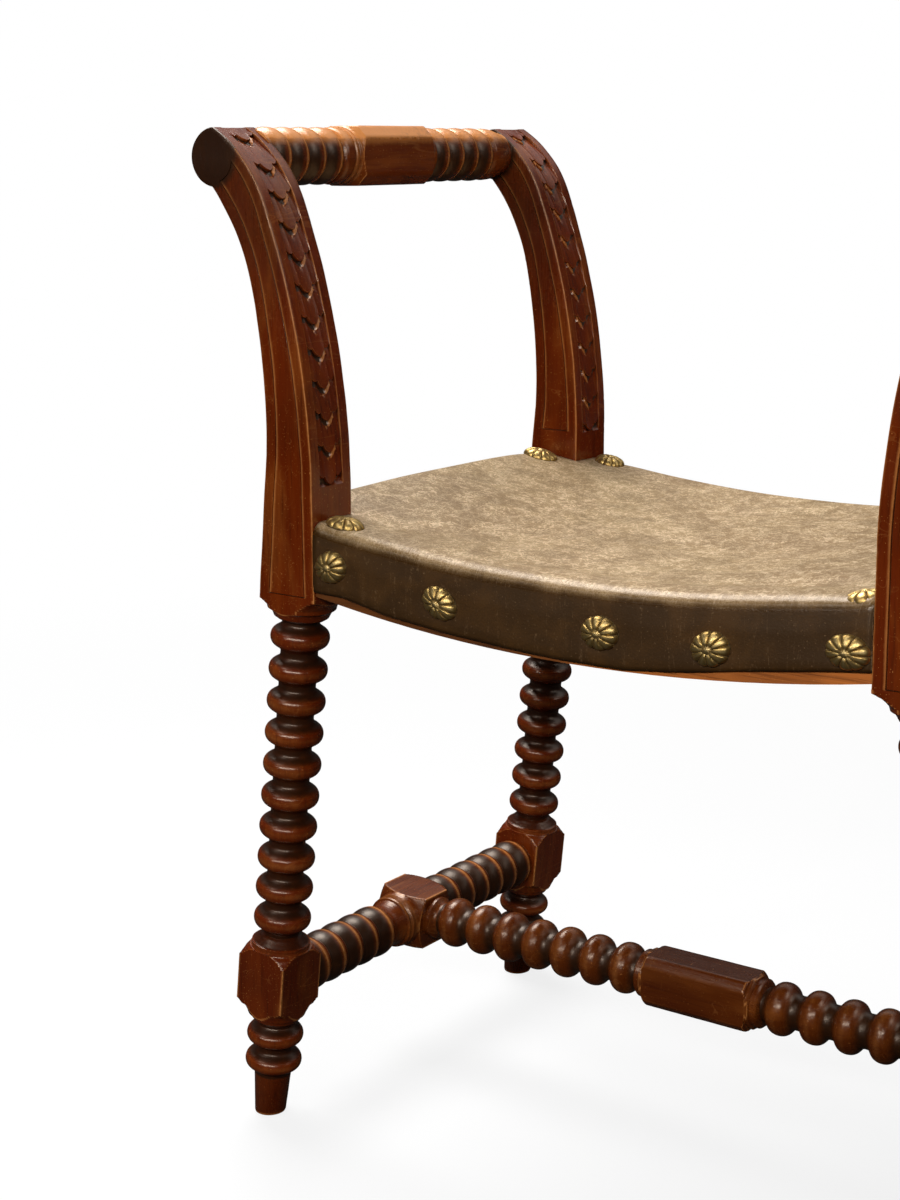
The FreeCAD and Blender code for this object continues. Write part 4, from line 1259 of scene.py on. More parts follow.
def stitched(low_points, low_rim, high_points, high_rim, start):
    """Triangles between two level rims with different numbers of points."""
    centre = high_points[high_rim][:, :2].mean(0)

    def ordered(points, rim):
        offset = points[rim][:, :2] - centre
        angles = np.arctan2(offset[:, 1], offset[:, 0])
        order = np.argsort(angles)
        return rim[order], angles[order]

    low, low_angles = ordered(low_points, low_rim)
    high, high_angles = ordered(high_points, high_rim)
    full = 2 * math.pi
    faces = []
    i = j = 0
    while i < len(low) or j < len(high):
        a = low[i % len(low)]
        b = high[j % len(high)] + start
        next_low = low_angles[(i + 1) % len(low)] + full * ((i + 1) // len(low))
        next_high = high_angles[(j + 1) % len(high)] + full * ((j + 1) // len(high))
        if j >= len(high) or (i < len(low) and next_low <= next_high):
            faces.append((a, low[(i + 1) % len(low)], b))
            i += 1
        else:
            faces.append((a, high[(j + 1) % len(high)] + start, b))
            j += 1
    return faces


class BENCH_OT_leg_posts(bpy.types.Operator):
    """Make the four turned legs with their carved and scrolled arm posts"""

    bl_idname = "bench.leg_posts"
    bl_label = "Legs and arm posts"

    def execute(self, context):
        mesh = leg_post_mesh()
        for depth, shape in (("front_", mesh), ("back_", turned_over(mesh, Y_AXIS))):
            mirrored_pair(shape, "carved_", "leg_post_" + depth)
        return {"FINISHED"}


def arm_rail_outline():
    """Banded rail with an eight-sided block near its middle."""
    chamfer = STOCK - 8.5
    half = STOCK / 2
    outline = Outline()
    outline.ring(0.0, -154.0)
    outline.ring(19.4, -154.0)
    outline.bands(-150.4, 19.72, 4, 21.3, 18.9, 0.55)
    outline.run([(18.9, -71.5), (20.6, -70.2), (21.4, -67.5), (21.5, -63.5), (21.1, -60.2)],
        wear=0.15)
    outline.run([(20.3, -59.2), (20.3, -58.8), (21.4, -58.2), (21.5, -56.4), (20.6, -55.6)],
        wear=0.45)
    outline.run([(20.6, -55.2), (21.6, -54.8), (21.7, -53.0), (22.2, -52.3)], wear=0.35)
    block = {"half": half, "corner": chamfer}
    outline.run([(22.4, -52.0), (25.0, -50.2), (28.5, -47.6), (34.0, -46.0)], **block)
    outline.run([(FAR, -45.0), (FAR, 30.4)], **block)
    outline.run([(34.0, 31.4), (28.5, 33.0), (25.0, 35.6), (22.4, 37.4)], **block)
    outline.run([(21.6, 37.8), (20.8, 38.6), (21.3, 40.0), (21.4, 41.8), (20.2, 43.2)], wear=0.35)
    outline.bands(43.6, 19.83, 4, 21.3, 18.9, 0.55)
    outline.run([(18.9, 122.9), (20.6, 126.0), (21.0, 130.0), (20.6, 136.0), (19.4, 142.0),
        (17.8, 148.0), (17.5, 154.0)])
    outline.ring(0.0, 154.0)
    return outline


def side_stretcher_outline():
    """Banded stretcher with a square block that takes the cross stretcher."""
    half = STOCK / 2
    outline = Outline()
    outline.ring(0.0, -154.0)
    outline.ring(18.6, -154.0)
    outline.bands(-150.3, 20.5, 5, 20.9, 18.2, 0.35)
    outline.run([(18.2, -47.8), (17.2, -44.5), (17.0, -41.0), (17.8, -37.0), (19.2, -33.4)],
        hollow=0.15)
    outline.run([(20.9, -32.6), (21.3, -31.6), (20.9, -30.4), (19.9, -29.6)], wear=0.4)
    outline.run([(20.9, -28.8), (21.9, -27.8), (21.9, -25.6), (21.2, -24.8), (21.6, -23.6)],
        wear=0.4)
    outline.run([(22.6, -20.4), (24.4, -19.6), (28.0, -17.4), (31.8, -14.2), (36.0, -12.0)],
        half=half)
    outline.run([(FAR, -11.0), (FAR, 11.0)], half=half)
    outline.run([(36.0, 12.0), (31.8, 14.2), (28.0, 17.4), (24.4, 19.6), (22.6, 20.4)], half=half)
    outline.run([(21.2, 21.0), (21.4, 22.4), (20.2, 23.6)], wear=0.3)
    outline.bands(24.2, 21.02, 6, 20.9, 18.2, 0.35)
    outline.ring(18.6, 154.0)
    outline.ring(0.0, 154.0)
    return outline


def cross_stretcher_outline():
    """Beaded stretcher with a chamfered block at its middle."""
    sizes = bpy.context.scene.bench_turning
    crest = sizes.cross_crest / MM
    neck = sizes.cross_neck / MM
    half = 20.0
    chamfer = 2 * half - 5.7
    side = Outline()
    side.run([(FAR, 0.0), (FAR, 38.0)], half=half, corner=chamfer)
    side.run([(29.0, 39.0), (26.4, 40.6), (24.4, 43.0), (23.2, 44.2)], half=half, corner=chamfer)
    side.run([(21.4, 44.4), (20.6, 44.8), (20.9, 46.6), (19.6, 47.6)], half=half, wear=0.3)
    side.run([(18.4, 48.0), (18.6, 49.2), (18.9, 51.4), (17.6, 53.0), (15.4, 53.8), (neck, 54.2)])
    side.beads(68.1, 27.6, 7, crest, neck)
    side.run([(neck, 247.5), (14.2, 249.2), (17.2, 251.6), (17.4, 254.2), (17.0, 256.4),
        (17.0, 262.0)])
    side.ring(0.0, 262.0)
    outline = Outline()
    outline.rings = [(ring[0], -ring[1], *ring[2:]) for ring in side.rings[:0:-1]] + side.rings
    return outline


def rubbed_and_lit_above(mesh, level, reach, amount):
    """Raise the wear of the points above a level, in full where they are as high as the reach; this
    rubbed top is also painted lighter as painted light.
    """
    share = np.clip((points_of(mesh)[:, 2] / MM - level) / reach, 0, 1) ** 1.5
    keep_numbers(mesh, "wear", np.maximum(numbers_of(mesh, "wear"), amount * share))
    keep_numbers(mesh, "hollow", numbers_of(mesh, "hollow") * (1 - share))
    return mesh


def rolled(mesh, x, z, roll):
    """Lay a piece that was turned round Z along Y, rolled about Y."""
    lay = Matrix.Rotation(-math.pi / 2, 4, "X")
    mesh.transform(Matrix.Translation((x * MM, 0, z * MM)) @ Matrix.Rotation(roll, 4, "Y") @ lay)
    return mesh


def mirrored_pair(mesh, prefix, node):
    """Make the piece on the left and its mirror image on the right ride in place of their nodes."""
    for side, shape in (("left", mesh), ("right", turned_over(mesh, X_AXIS))):
        dress(new_object(prefix + node + side, shape), "oak", node + side)


class BENCH_OT_arm_rails(bpy.types.Operator):
    """Make the two turned rails between the scrolls"""

    bl_idname = "bench.arm_rails"
    bl_label = "Arm rails"

    def execute(self, context):
        mesh = arm_rail_outline().turned("arm rail", lengthwise_wood(), 11)
        # The top of the arm rail: rubbed, and painted lighter as painted light from above
        rubbed_and_lit_above(rolled(mesh, SCROLL[0], SCROLL[1], 0), SCROLL[1] + 3.0, 11.0, 1.0)
        mirrored_pair(mesh, "turned_", "arm_rail_")
        return {"FINISHED"}


class BENCH_OT_side_stretchers(bpy.types.Operator):
    """Make the two banded stretchers between the lower blocks"""

    bl_idname = "bench.side_stretchers"
    bl_label = "Side stretchers"

    def execute(self, context):
        mesh = side_stretcher_outline().turned("side stretcher", lengthwise_wood(), 17)
        mirrored_pair(rolled(mesh, -STRETCHER_HALF_SPREAD, STRETCHER_LEVEL, LEAN), "turned_",
            "side_stretcher_")
        return {"FINISHED"}


class BENCH_OT_cross_stretcher(bpy.types.Operator):
    """Make the beaded stretcher between the side stretchers"""

    bl_idname = "bench.cross_stretcher"
    bl_label = "Cross stretcher"

    def execute(self, context):
        mesh = cross_stretcher_outline().turned("cross stretcher", crosswise_wood(), 23)
        mesh.transform(Matrix.Translation((0, 0, STRETCHER_LEVEL * MM)) @
            Matrix.Rotation(math.pi / 2, 4, "Y"))
        dress(new_object("turned_cross_stretcher", mesh), "oak", "cross_stretcher")
        return {"FINISHED"}


class BENCH_OT_seat_frame(bpy.types.Operator):
    """Finish the seat rails and the corner blocks of the frame in plain wood"""

    bl_idname = "bench.seat_frame"
    bl_label = "Seat rails"

    def execute(self, context):
        for name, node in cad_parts.items():
            if name.startswith(("seat_rail_", "corner_block_")):
                node.data.materials.clear()
                node.data.materials.append(rail_wood(not name.endswith(("_left", "_right")) or
                    name.startswith("corner")))
        return {"FINISHED"}


def rail_level(x):
    """Lower edge of the bowed rails at a place across the seat."""
    return RAIL_LOW + RAIL_BOW * (x / SEAT_HALF_WIDTH) ** 2


def seat_edge(x):
    """Level of the rolled edges of the leather at a place across the seat."""
    return SEAT_EDGE + RAIL_BOW * (x / SEAT_HALF_WIDTH) ** 2


def seat_top(x, y):
    """Level of the leather before it is softened."""
    edge = seat_edge(x)
    middle = -SEAT_DIP + (SEAT_DIP + SIDE_CROWN) * (x / SIDE_FACE_X) ** 2
    flat = POST_OUTER_Y - EDGE_ROLL
    return edge + middle * (1 - np.minimum(1.0, np.abs(y) / flat) ** 2)


# Lower edge of the hide along the front: place across the seat and level
HEM = ((-216.0, 433.6), (-190.0, 432.6), (-154.0, 425.0), (-104.0, 419.6), (-52.0, 415.8),
    (-3.0, 413.8), (43.0, 413.9), (76.0, 417.2), (101.0, 420.8), (143.0, 427.4), (177.0, 432.6),
    (216.0, 437.4))
FRONT_NAILS = ((-0.919, 0.73), (-0.474, 0.66), (0.123, 0.67), (0.5, 0.573), (0.93, 0.562))
SIDE_NAIL_LEVEL = 455.0
SIDE_NAILS = (-132.3, -44.1, 44.1, 132.3)
TOP_NAILS = ((200.2, 177.8), (240.5, 132.3))
SIDE_HEM = 439.6


def front_nail_spots():
    return [(share * SEAT_HALF_WIDTH, rail_level(share * SEAT_HALF_WIDTH) + rise * RAIL_HEIGHT) for
        share, rise in FRONT_NAILS]


def rumpled(x, y, scale, depth):
    """Smooth noise at places on the seat."""
    x, y = np.broadcast_arrays(x, y)
    found = [noise.noise(Vector((a * scale, b * scale, depth))) for a, b in zip(x.flat, y.flat)]
    return np.reshape(found, x.shape)


def softened_top(x, y):
    """Level of the seat with the hollows and swellings of long use."""
    inside = np.clip((POST_OUTER_Y - np.abs(y)) / 40.0, 0, 1) \
        * np.clip((SIDE_FACE_X - np.abs(x)) / 30.0, 0, 1)
    gutter = np.exp(-((y + 138.0 - 0.03 * x) / 20.0) ** 2)
    gutter = gutter * (0.35 + 0.65 / (1 + np.exp(-(x - 10) / 45.0)))
    swelling = np.exp(-((y + 168.0) / 16.0) ** 2)
    lumps = rumpled(x, y, 0.013, 4.0)
    level = seat_top(x, y) + (1.2 * swelling - 3.0 * gutter + 2.4 * lumps) * inside
    for side_x in (-1, 1):
        for side_y in (-1, 1):
            for spot_x, spot_y in TOP_NAILS:
                gap = np.hypot(x - side_x * spot_x, y - side_y * spot_y)
                level = level - 1.3 * np.exp(-(gap / 17.0) ** 2)
    return level


def spaced(stops, gap):
    """Numbers from the first stop to the last that include every stop."""
    found = []
    for low, high in zip(stops, stops[1:]):
        parts = max(1, int(round((high - low) / gap)))
        found += [low + (high - low) * part / parts for part in range(parts)]
    return np.array(found + [stops[-1]])


def mirrored(stops):
    """Stops that begin at 0, with their mirror images before them."""
    return [-stop for stop in stops[:0:-1]] + list(stops)


def solid_cells(xs, ys, notch):
    """Which cells of a grid are left when its four corners are cut away."""
    inside = [np.abs(places[1:] + places[:-1]) / 2 < edge for places, edge in zip((xs, ys), notch)]
    return inside[0][:, None] | inside[1][None, :]


def without_loose(mesh, closed=False):
    """Remove the points that no face uses, and turn the faces of a closed form outwards."""
    work = bmesh.new()
    work.from_mesh(mesh)
    loose = [vert for vert in work.verts if not vert.link_faces]
    bmesh.ops.delete(work, geom=loose, context="VERTS")
    if closed:
        bmesh.ops.recalc_face_normals(work, faces=work.faces)
    work.to_mesh(mesh)
    work.free()
    return mesh


def smoothed(mesh):
    for polygon in mesh.polygons:
        polygon.use_smooth = True
    return mesh


def lay_flat(mesh, places):
    """Give a mesh a UV map from a flat place for each of its points."""
    loops = np.empty(len(mesh.loops), int)
    mesh.loops.foreach_get("vertex_index", loops)
    mesh.uv_layers.new(name="UVMap").data.foreach_set("uv", places[loops].ravel())


def notched_sheet(name, xs, ys, points, notch, **numbers):
    """A sheet from a grid of points with its corners cut away, laid flat in its UV map."""
    i, j = np.nonzero(solid_cells(xs, ys, notch))
    here = i * len(ys) + j
    faces = np.stack((here, here + len(ys), here + len(ys) + 1, here + 1), -1)
    mesh = new_mesh(name, points.reshape(-1, 3) * MM, faces)
    for label, values in numbers.items():
        keep_numbers(mesh, label, values.ravel())
    lay_flat(mesh, np.stack(np.meshgrid(xs, ys, indexing="ij"), -1).reshape(-1, 2) * MM)
    return smoothed(without_loose(mesh))


def thicken(obj, thickness, offset, **settings):
    """Give a sheet its thickness. Returns the area of one of its sides."""
    wall = obj.modifiers.new("thickness", "SOLIDIFY")
    wall.thickness = thickness * MM
    wall.offset = offset
    for name, value in settings.items():
        setattr(wall, name, value)
    settle(obj)
    return sum(polygon.area for polygon in obj.data.polygons) / 2


QUARTER = EDGE_ROLL * math.pi / 2
# Length of the hanging flaps under the rolled edge: at most, and on average along the front
FLAP = 42.0
HIDE_NOTCH = (SEAT_HALF_WIDTH - 0.3, POST_INNER_Y - 0.3)
HIDE_FLAT = (SIDE_FACE_X - EDGE_ROLL, POST_OUTER_Y - EDGE_ROLL)


def over_edge(run, flat):
    """How far out and how far down a strip goes that rolls over an edge, and its hanging part."""
    turn = np.clip((np.abs(run) - flat) / EDGE_ROLL, 0, math.pi / 2)
    out = np.minimum(np.abs(run), flat) + EDGE_ROLL * np.sin(turn)
    down = EDGE_ROLL * (1 - np.cos(turn))
    hang = np.maximum(np.abs(run) - flat - QUARTER, 0)
    return np.sign(run) * out, down, hang


def hide_run(notch, flat):
    """Places across the flat hide, closer together round its rolled edges."""
    stops = (0.0, notch, flat, flat + QUARTER, flat + QUARTER + FLAP)
    half = [place for part, gap in zip(zip(stops, stops[1:]), (4.0, 3.0, 1.5, 3.0)) for place in
        spaced(part, gap)[:-1]]
    return np.array(mirrored(half + [stops[-1]]))


def slack(along, level, hang, nails):
    """How far a hanging flap stands off between its nails."""
    pull = sum(np.exp(-(((along - place) / 20.0) ** 2 + ((level - height) / 13.0) ** 2)) for place,
        height in nails)
    fading = np.clip(hang / 12.0, 0, 1) * np.clip((FLAP - hang) / 6.0, 0, 1)
    return (1 - np.clip(pull, 0, 1)) * fading * 0.9


def leather_mesh():
    """The hide as one sheet: a dished top, rolled edges and four hanging flaps."""
    run_a, run_b = (hide_run(*stops) for stops in zip(HIDE_NOTCH, HIDE_FLAT))
    a, b = np.meshgrid(run_a, run_b, indexing="ij")
    x, down_x, hang_x = over_edge(a, HIDE_FLAT[0])
    y, down_y, hang_y = over_edge(b, HIDE_FLAT[1])
    z = softened_top(x, y) - down_x - down_y
    hem = np.interp(np.where(b < 0, x, -x), *zip(*HEM))
    hem += rumpled(run_a, 450.0, 0.02, 0.0)[:, None] * 0.8
    z = np.where(hang_y > 0, z + (hem - z) * hang_y / FLAP, z)
    side_hem = SIDE_HEM + rumpled(150.0, run_b, 0.02, 5.0)[None, :]
    z = np.where(hang_x > 0, z + (side_hem - z) * hang_x / FLAP, z)
    y = y + np.sign(b) * slack(x, z, hang_y, front_nail_spots())
    x = x + np.sign(a) * slack(y, z, hang_x, [(place, SIDE_NAIL_LEVEL) for place in SIDE_NAILS])
    return notched_sheet("leather", run_a, run_b, np.stack((x, y, z), -1), HIDE_NOTCH,
        rub=1 - np.clip((down_x + down_y) / EDGE_ROLL * 1.05, 0, 1))


LEATHER_THICKNESS = 2.5


class BENCH_OT_leather(bpy.types.Operator):
    """Make the old leather cover with its rolled edges and hanging flaps"""

    bl_idname = "bench.leather"
    bl_label = "Leather cover"

    def execute(self, context):
        obj = new_object("leather_hide", leather_mesh())
        obj.data.materials.append(leather_material())
        obj.data.materials.append(cut_edge_material())
        area = thicken(obj, LEATHER_THICKNESS, -1.0, use_even_offset=True, material_offset_rim=1)
        dress(obj, "leather", "leather_cover")
        return {"FINISHED"}


def deck_level(x, lift):
    """Level over the cross straps at a place across the seat."""
    half_width = SIDE_RAIL_OUTER_X - SIDE_RAIL_THICKNESS / 2
    middle = RAIL_LOW + RAIL_HEIGHT + 0.3
    end = SIDE_RAIL_TOP - 1.6
    return middle + lift + (end - middle) * (np.abs(x) / half_width) ** 2


PAD_STOPS = ((0.0, 216.8, 250.0, 256.0), (0.0, 149.4, 186.0, 192.0))
HESSIAN_STOPS = ((0.0, 216.6, 242.4), (0.0, 149.6, 184.0))


def pad_mesh():
    """Closed form of the stuffing under the hide, notched at the posts."""
    xs, ys = (spaced(mirrored(stops), 6.0) for stops in PAD_STOPS)
    x, y = np.meshgrid(xs, ys, indexing="ij")
    roll = 0.0
    for edge, place in ((SIDE_FACE_X, x), (POST_OUTER_Y, y)):
        inward = np.clip((edge - 2.8 - np.abs(place)) / 9.0, 0, 1)
        roll = roll + 1 - np.sqrt(np.clip(inward * (2 - inward), 0, 1))
    base = deck_level(x, 5.4)
    top = softened_top(x, y) - LEATHER_THICKNESS - 1.6 - 7.0 * np.clip(roll, 0, 1)
    top = np.maximum(top, base + 1.0)
    count = x.size
    index = np.arange(count).reshape(x.shape)
    solid = solid_cells(xs, ys, [stops[1] for stops in PAD_STOPS])
    cells = np.pad(solid, 1)
    faces = []
    for i, j in np.argwhere(solid):
        a, b, c, d = index[i, j], index[i + 1, j], index[i + 1, j + 1], index[i, j + 1]
        faces += [(a, b, c, d), (d + count, c + count, b + count, a + count)]
        around = ((cells[i, j + 1], d, a), (cells[i + 2, j + 1], b, c), (cells[i + 1, j], a, b),
            (cells[i + 1, j + 2], c, d))
        faces += [(q, p, p + count, q + count) for beside, p, q in around if not beside]
    points = np.concatenate([np.stack((x, y, z), -1).reshape(-1, 3) for z in (top, base)]) * MM
    return without_loose(new_mesh("pad", points, faces), closed=True)


def puffed(obj, frames, pressure, cap):
    """Swell a closed pad with a short cloth simulation, each point moved no further than a cap."""
    remesh = obj.modifiers.new("even", "REMESH")
    remesh.mode = "VOXEL"
    remesh.voxel_size = 0.0055
    settle(obj)
    before = points_of(obj.data)
    cloth = obj.modifiers.new("swell", "CLOTH")
    cloth.settings.quality = 5
    cloth.settings.mass = 0.2
    cloth.settings.use_pressure = True
    cloth.settings.uniform_pressure_force = pressure
    cloth.settings.effector_weights.gravity = 0.0
    cloth.point_cache.frame_start = 1
    cloth.point_cache.frame_end = frames
    scene = bpy.context.scene
    for number in range(1, frames + 1):
        scene.frame_set(number)
    settle(obj)
    scene.frame_set(1)
    shift = points_of(obj.data) - before
    reach = np.linalg.norm(shift, axis=1, keepdims=True)
    set_points(obj.data, before + shift * np.minimum(1, cap / np.maximum(reach, 1e-9)))


class BENCH_OT_stuffing(bpy.types.Operator):
    """Make the stuffed pad under the leather"""

    bl_idname = "bench.stuffing"
    bl_label = "Stuffing"

    def execute(self, context):
        obj = new_object("stuffed_pad", pad_mesh())
        puffed(obj, frames=14, pressure=3.0, cap=0.0012)
        smoothed(obj.data).materials.clear()
        obj.data.materials.append(hair_material())
        dress(obj, "stuffing", "seat_stuffing")
        return {"FINISHED"}


class BENCH_OT_hessian(bpy.types.Operator):
    """Make the hessian between the webbing and the stuffing"""

    bl_idname = "bench.hessian"
    bl_label = "Hessian"

    def execute(self, context):
        xs, ys = (spaced(mirrored(stops), 6.0) for stops in HESSIAN_STOPS)
        x, y = np.meshgrid(xs, ys, indexing="ij")
        z = deck_level(x, 4.3) + np.clip(rumpled(x, y, 0.02, 2.0), 0, 1) * 0.5
        mesh = notched_sheet("hessian", xs, ys, np.stack((x, y, z), -1),
            [stops[1] for stops in HESSIAN_STOPS])
        obj = new_object("hessian_cloth", mesh)
        obj.data.materials.append(yarn_material("Hessian", 0.0022))
        area = thicken(obj, 0.8, 1.0)
        dress(obj, "hessian", "hessian")
        return {"FINISHED"}


@once("Flat straps")
def ribbon_tree(name):
    """Flat straps along chains of points."""
    tree, given, end = new_group(name, "GeometryNodeTree",
        {"Geometry": "Geometry", "Width": 0.05, "Thickness": 0.0016, "Material": "Material"},
        {"Geometry": "Geometry"})
    chain = add(tree, "GeometryNodeMeshToCurve", {"Mesh": given["Geometry"]})
    level = add(tree, "GeometryNodeSetCurveNormal", {"Curve": chain.outputs[0]})
    if hasattr(level, "mode"):
        level.mode = "Z_UP"
    section = add(tree, "GeometryNodeCurvePrimitiveQuadrilateral",
        {"Width": given["Width"], "Height": given["Thickness"]})
    strap = add(tree, "GeometryNodeCurveToMesh", {"Curve": level.outputs[0],
        "Profile Curve": section.outputs[0], "Fill Caps": True})
    return closing(tree, end, strap.outputs[0], given["Material"])


def strap_chains(name, straps):
    """Chains of points, one for each strap."""
    points, edges = [], []
    for strap in straps:
        edges += [(len(points) + step, len(points) + step + 1) for step in range(len(strap) - 1)]
        points += [tuple(value * MM for value in point) for point in strap]
    return new_mesh(name, points, edges=edges)


STRAP_WIDTH, STRAP_THICKNESS, STRAP_LIFT = 50.0, 1.6, 1.9
# Places of the straps that run front to back and of those that run side to side, and their reach
CROSS_STRAPS, CROSS_REACH = (-160.0, -80.0, 0.0, 80.0, 160.0), 178.0
LONG_STRAPS, LONG_REACH = (-90.0, 0.0, 90.0), 240.0


def over_under(place, centres, number):
    """0 where a strap passes under the others and 1 where it passes over, eased between them."""
    total = 0.0
    for other, centre in enumerate(centres):
        near = max(0.0, min(1.0, (STRAP_WIDTH / 2 + 14.0 - abs(place - centre)) / 12.0))
        if (other + number) % 2 == 0:
            total = max(total, near * near * (3 - 2 * near))
    return total


def woven(places, others, reach, cross):
    """Straps that weave over and under the others."""
    straps = []
    for number, place in enumerate(places):
        straps.append([])
        for run in np.arange(-reach, reach + 0.1, 4.0):
            over = over_under(run, others, number)
            x, y = (place, run) if cross else (run, place)
            level = deck_level(x, STRAP_THICKNESS / 2) + (over if cross else 1 - over) * STRAP_LIFT
            straps[-1].append((x, y, level))
    return straps


class BENCH_OT_webbing(bpy.types.Operator):
    """Make the woven straps that carry the stuffing"""

    bl_idname = "bench.webbing"
    bl_label = "Webbing"

    def execute(self, context):
        material = yarn_material("Jute webbing", 0.0016, plain=False)
        for name, straps in (("cross", woven(CROSS_STRAPS, LONG_STRAPS, CROSS_REACH, True)),
                ("long", woven(LONG_STRAPS, CROSS_STRAPS, LONG_REACH, False))):
            mesh = grown(strap_chains(name, straps), ribbon_tree(),
                {"Width": STRAP_WIDTH * MM, "Thickness": STRAP_THICKNESS * MM,
                "Material": material})
            lay_flat(mesh, points_of(mesh)[:, :2])
            dress(new_object("woven_straps_" + name, mesh), "webbing", "webbing_" + name)
        return {"FINISHED"}


@once("Rosette nails")
def rosette_tree(name):
    """One petalled nail head with its shank, set on each point of the mesh."""
    tree, given, end = new_group(name, "GeometryNodeTree",
        {"Geometry": "Geometry", "Petals": 10, "Length": 0.029, "Width": 0.0215, "Height": 0.007,
        "Shank": 0.024, "Material": "Material"}, {"Geometry": "Geometry"})
    rings, steps = 24, 9.0
    grid, ring, turn = revolved(tree, rings, given["Petals"] * steps)
    angle = turn * (-2 * math.pi)
    petal = (turn * given["Petals"]).math("FRACT")
    ridge = (petal - 0.5).size() * 2.0
    climb = ((ring - 5.0) / (rings - 6.0)).most(0.0)
    swing = climb * (math.pi / 2)
    flare = swing.math("COSINE")
    near_middle = flare.ease(0.1, 0.3)
    scallop = ridge ** 3.2 * 0.085 * climb.ease(0.0, 0.08)
    head = flare ** 0.82 * (scallop * -1.0 + 1.0)
    lobes = (ridge ** 3.0) * 0.05 * near_middle + (ridge ** 14.0) * 0.16 * near_middle
    dot = flare.fade(0.05, 0.13) * 0.1
    hollow_ring = (flare.ease(0.1, 0.16) - flare.ease(0.18, 0.3)) * 0.1
    height = swing.math("SINE") ** 0.8 * (lobes * -1.0 + 1.0) + dot - hollow_ring

    def stepped(value, *steps):
        """A value with others in its place where the ring number is under a step."""
        for low, other in steps:
            test = ring.math("LESS_THAN", low)
            value = test * other + (test * -1.0 + 1.0) * value
        return value

    radius = stepped(head, (5.0, 0.9), (4.0, 0.16), (3.0, 0.15), (2.0, 0.07), (1.0, 0.0))
    rise = stepped(height * given["Height"], (5.0, -0.0003), (3.0, -0.0006),
        (2.0, given["Shank"] * -1.0))
    shape = moved(tree, grid, radius * angle.math("COSINE") * given["Length"] * 0.5,
        radius * angle.math("SINE") * given["Width"] * 0.5, rise)
    between = (ridge.ease(0.8, 1.0) * near_middle).most(climb.fade(0.02, 0.1))
    shape = kept(tree, shape, hollow=between.most(hollow_ring * 6.0),
        wear=(ridge * -1.0 + 1.0) * climb.ease(0.1, 0.4) + dot * 6.0)
    facing = add(tree, "FunctionNodeEulerToRotation", {0: named(tree, "turn", "FLOAT_VECTOR")})
    heads = add(tree, "GeometryNodeInstanceOnPoints",
        {"Points": given["Geometry"], "Instance": joined_up(tree, shape),
        "Rotation": facing.outputs[0], "Scale": named(tree, "size", "FLOAT_VECTOR")})
    real = add(tree, "GeometryNodeRealizeInstances", {"Geometry": heads.outputs[0]})
    return closing(tree, end, real.outputs[0], given["Material"], 0.9)


def nail_points(name, spots):
    """A point for each nail, with the way that it faces and its size."""
    mesh = new_mesh(name, [[value * MM for value in spot[0]] for spot in spots])
    turns = mesh.attributes.new("turn", "FLOAT_VECTOR", "POINT")
    sizes = mesh.attributes.new("size", "FLOAT_VECTOR", "POINT")
    for number, (_, facing, long_way, spin) in enumerate(spots):
        up = Vector(facing).normalized()
        side = Vector(long_way)
        side = (side - up * side.dot(up)).normalized()
        basis = Matrix((side, up.cross(side), up)).transposed() @ Matrix.Rotation(spin, 3, "Z")
        turns.data[number].vector = basis.to_euler("XYZ")
        swell = 1.0 + 0.03 * math.sin(number * 2.4 + len(spots))
        sizes.data[number].vector = (swell, 2.0 - swell, 1.0)
    return mesh


# Turn of each nail about its shank
FRONT_SPINS = (0.25, -0.42, 0.05, 0.3, -0.05)
SIDE_SPINS = {-1: (-0.3, -0.1, 0.1, 0.3), 1: (0.3, 0.05, -0.2, -0.45)}
TOP_SPINS = (0.15, -0.3, 0.1, 0.35, -0.2, 0.25, -0.1, 0.3)
SHANK = 0.024
# Gap between a nail's rim and the face of the hide, in millimetres
PROUD = 0.1
# Nails on the top that aren't where their mirror images are: place, and how far they are sunk
MOVED_NAILS = {(0, 1, -1): (205.5, -181.5, 4.6), (1, -1, -1): (-245.5, -137.0, 0.1)}


def top_nail_spots():
    """Nails on the top of the seat, two beside each post."""
    spots = []
    for number, (x, y) in enumerate(TOP_NAILS):
        for side in (-1, 1):
            for end in (-1, 1):
                px, py, sunk = MOVED_NAILS.get((number, side, end), (side * x, end * y, PROUD))
                level = softened_top(np.array([px, px + 3, px - 3, px, px]),
                    np.array([py, py, py, py + 3, py - 3]))
                facing = (-(level[1] - level[2]) / 6, -(level[3] - level[4]) / 6, 1.0)
                spin = TOP_SPINS[number * 4 + side + 1 + (end + 1) // 2]
                spots.append(((px, py, level[0] - sunk), facing, (1, 0, 0), spin))
    return spots


def edge_nail_spots(side):
    """Nails along the front or the back, with the side on which they are."""
    y = side * (POST_OUTER_Y + PROUD)
    return [((x, y, z), (0, side, 0), (1, 0, 0), -side * spin) for (x, z),
        spin in zip(front_nail_spots(), FRONT_SPINS)]


def end_nail_spots(side):
    """Nails along the left or the right end of the seat."""
    x = side * (SIDE_FACE_X + PROUD)
    return [((x, y, SIDE_NAIL_LEVEL), (side, 0, 0), (0, 1, 0), spin) for y,
        spin in zip(SIDE_NAILS, SIDE_SPINS[side])]


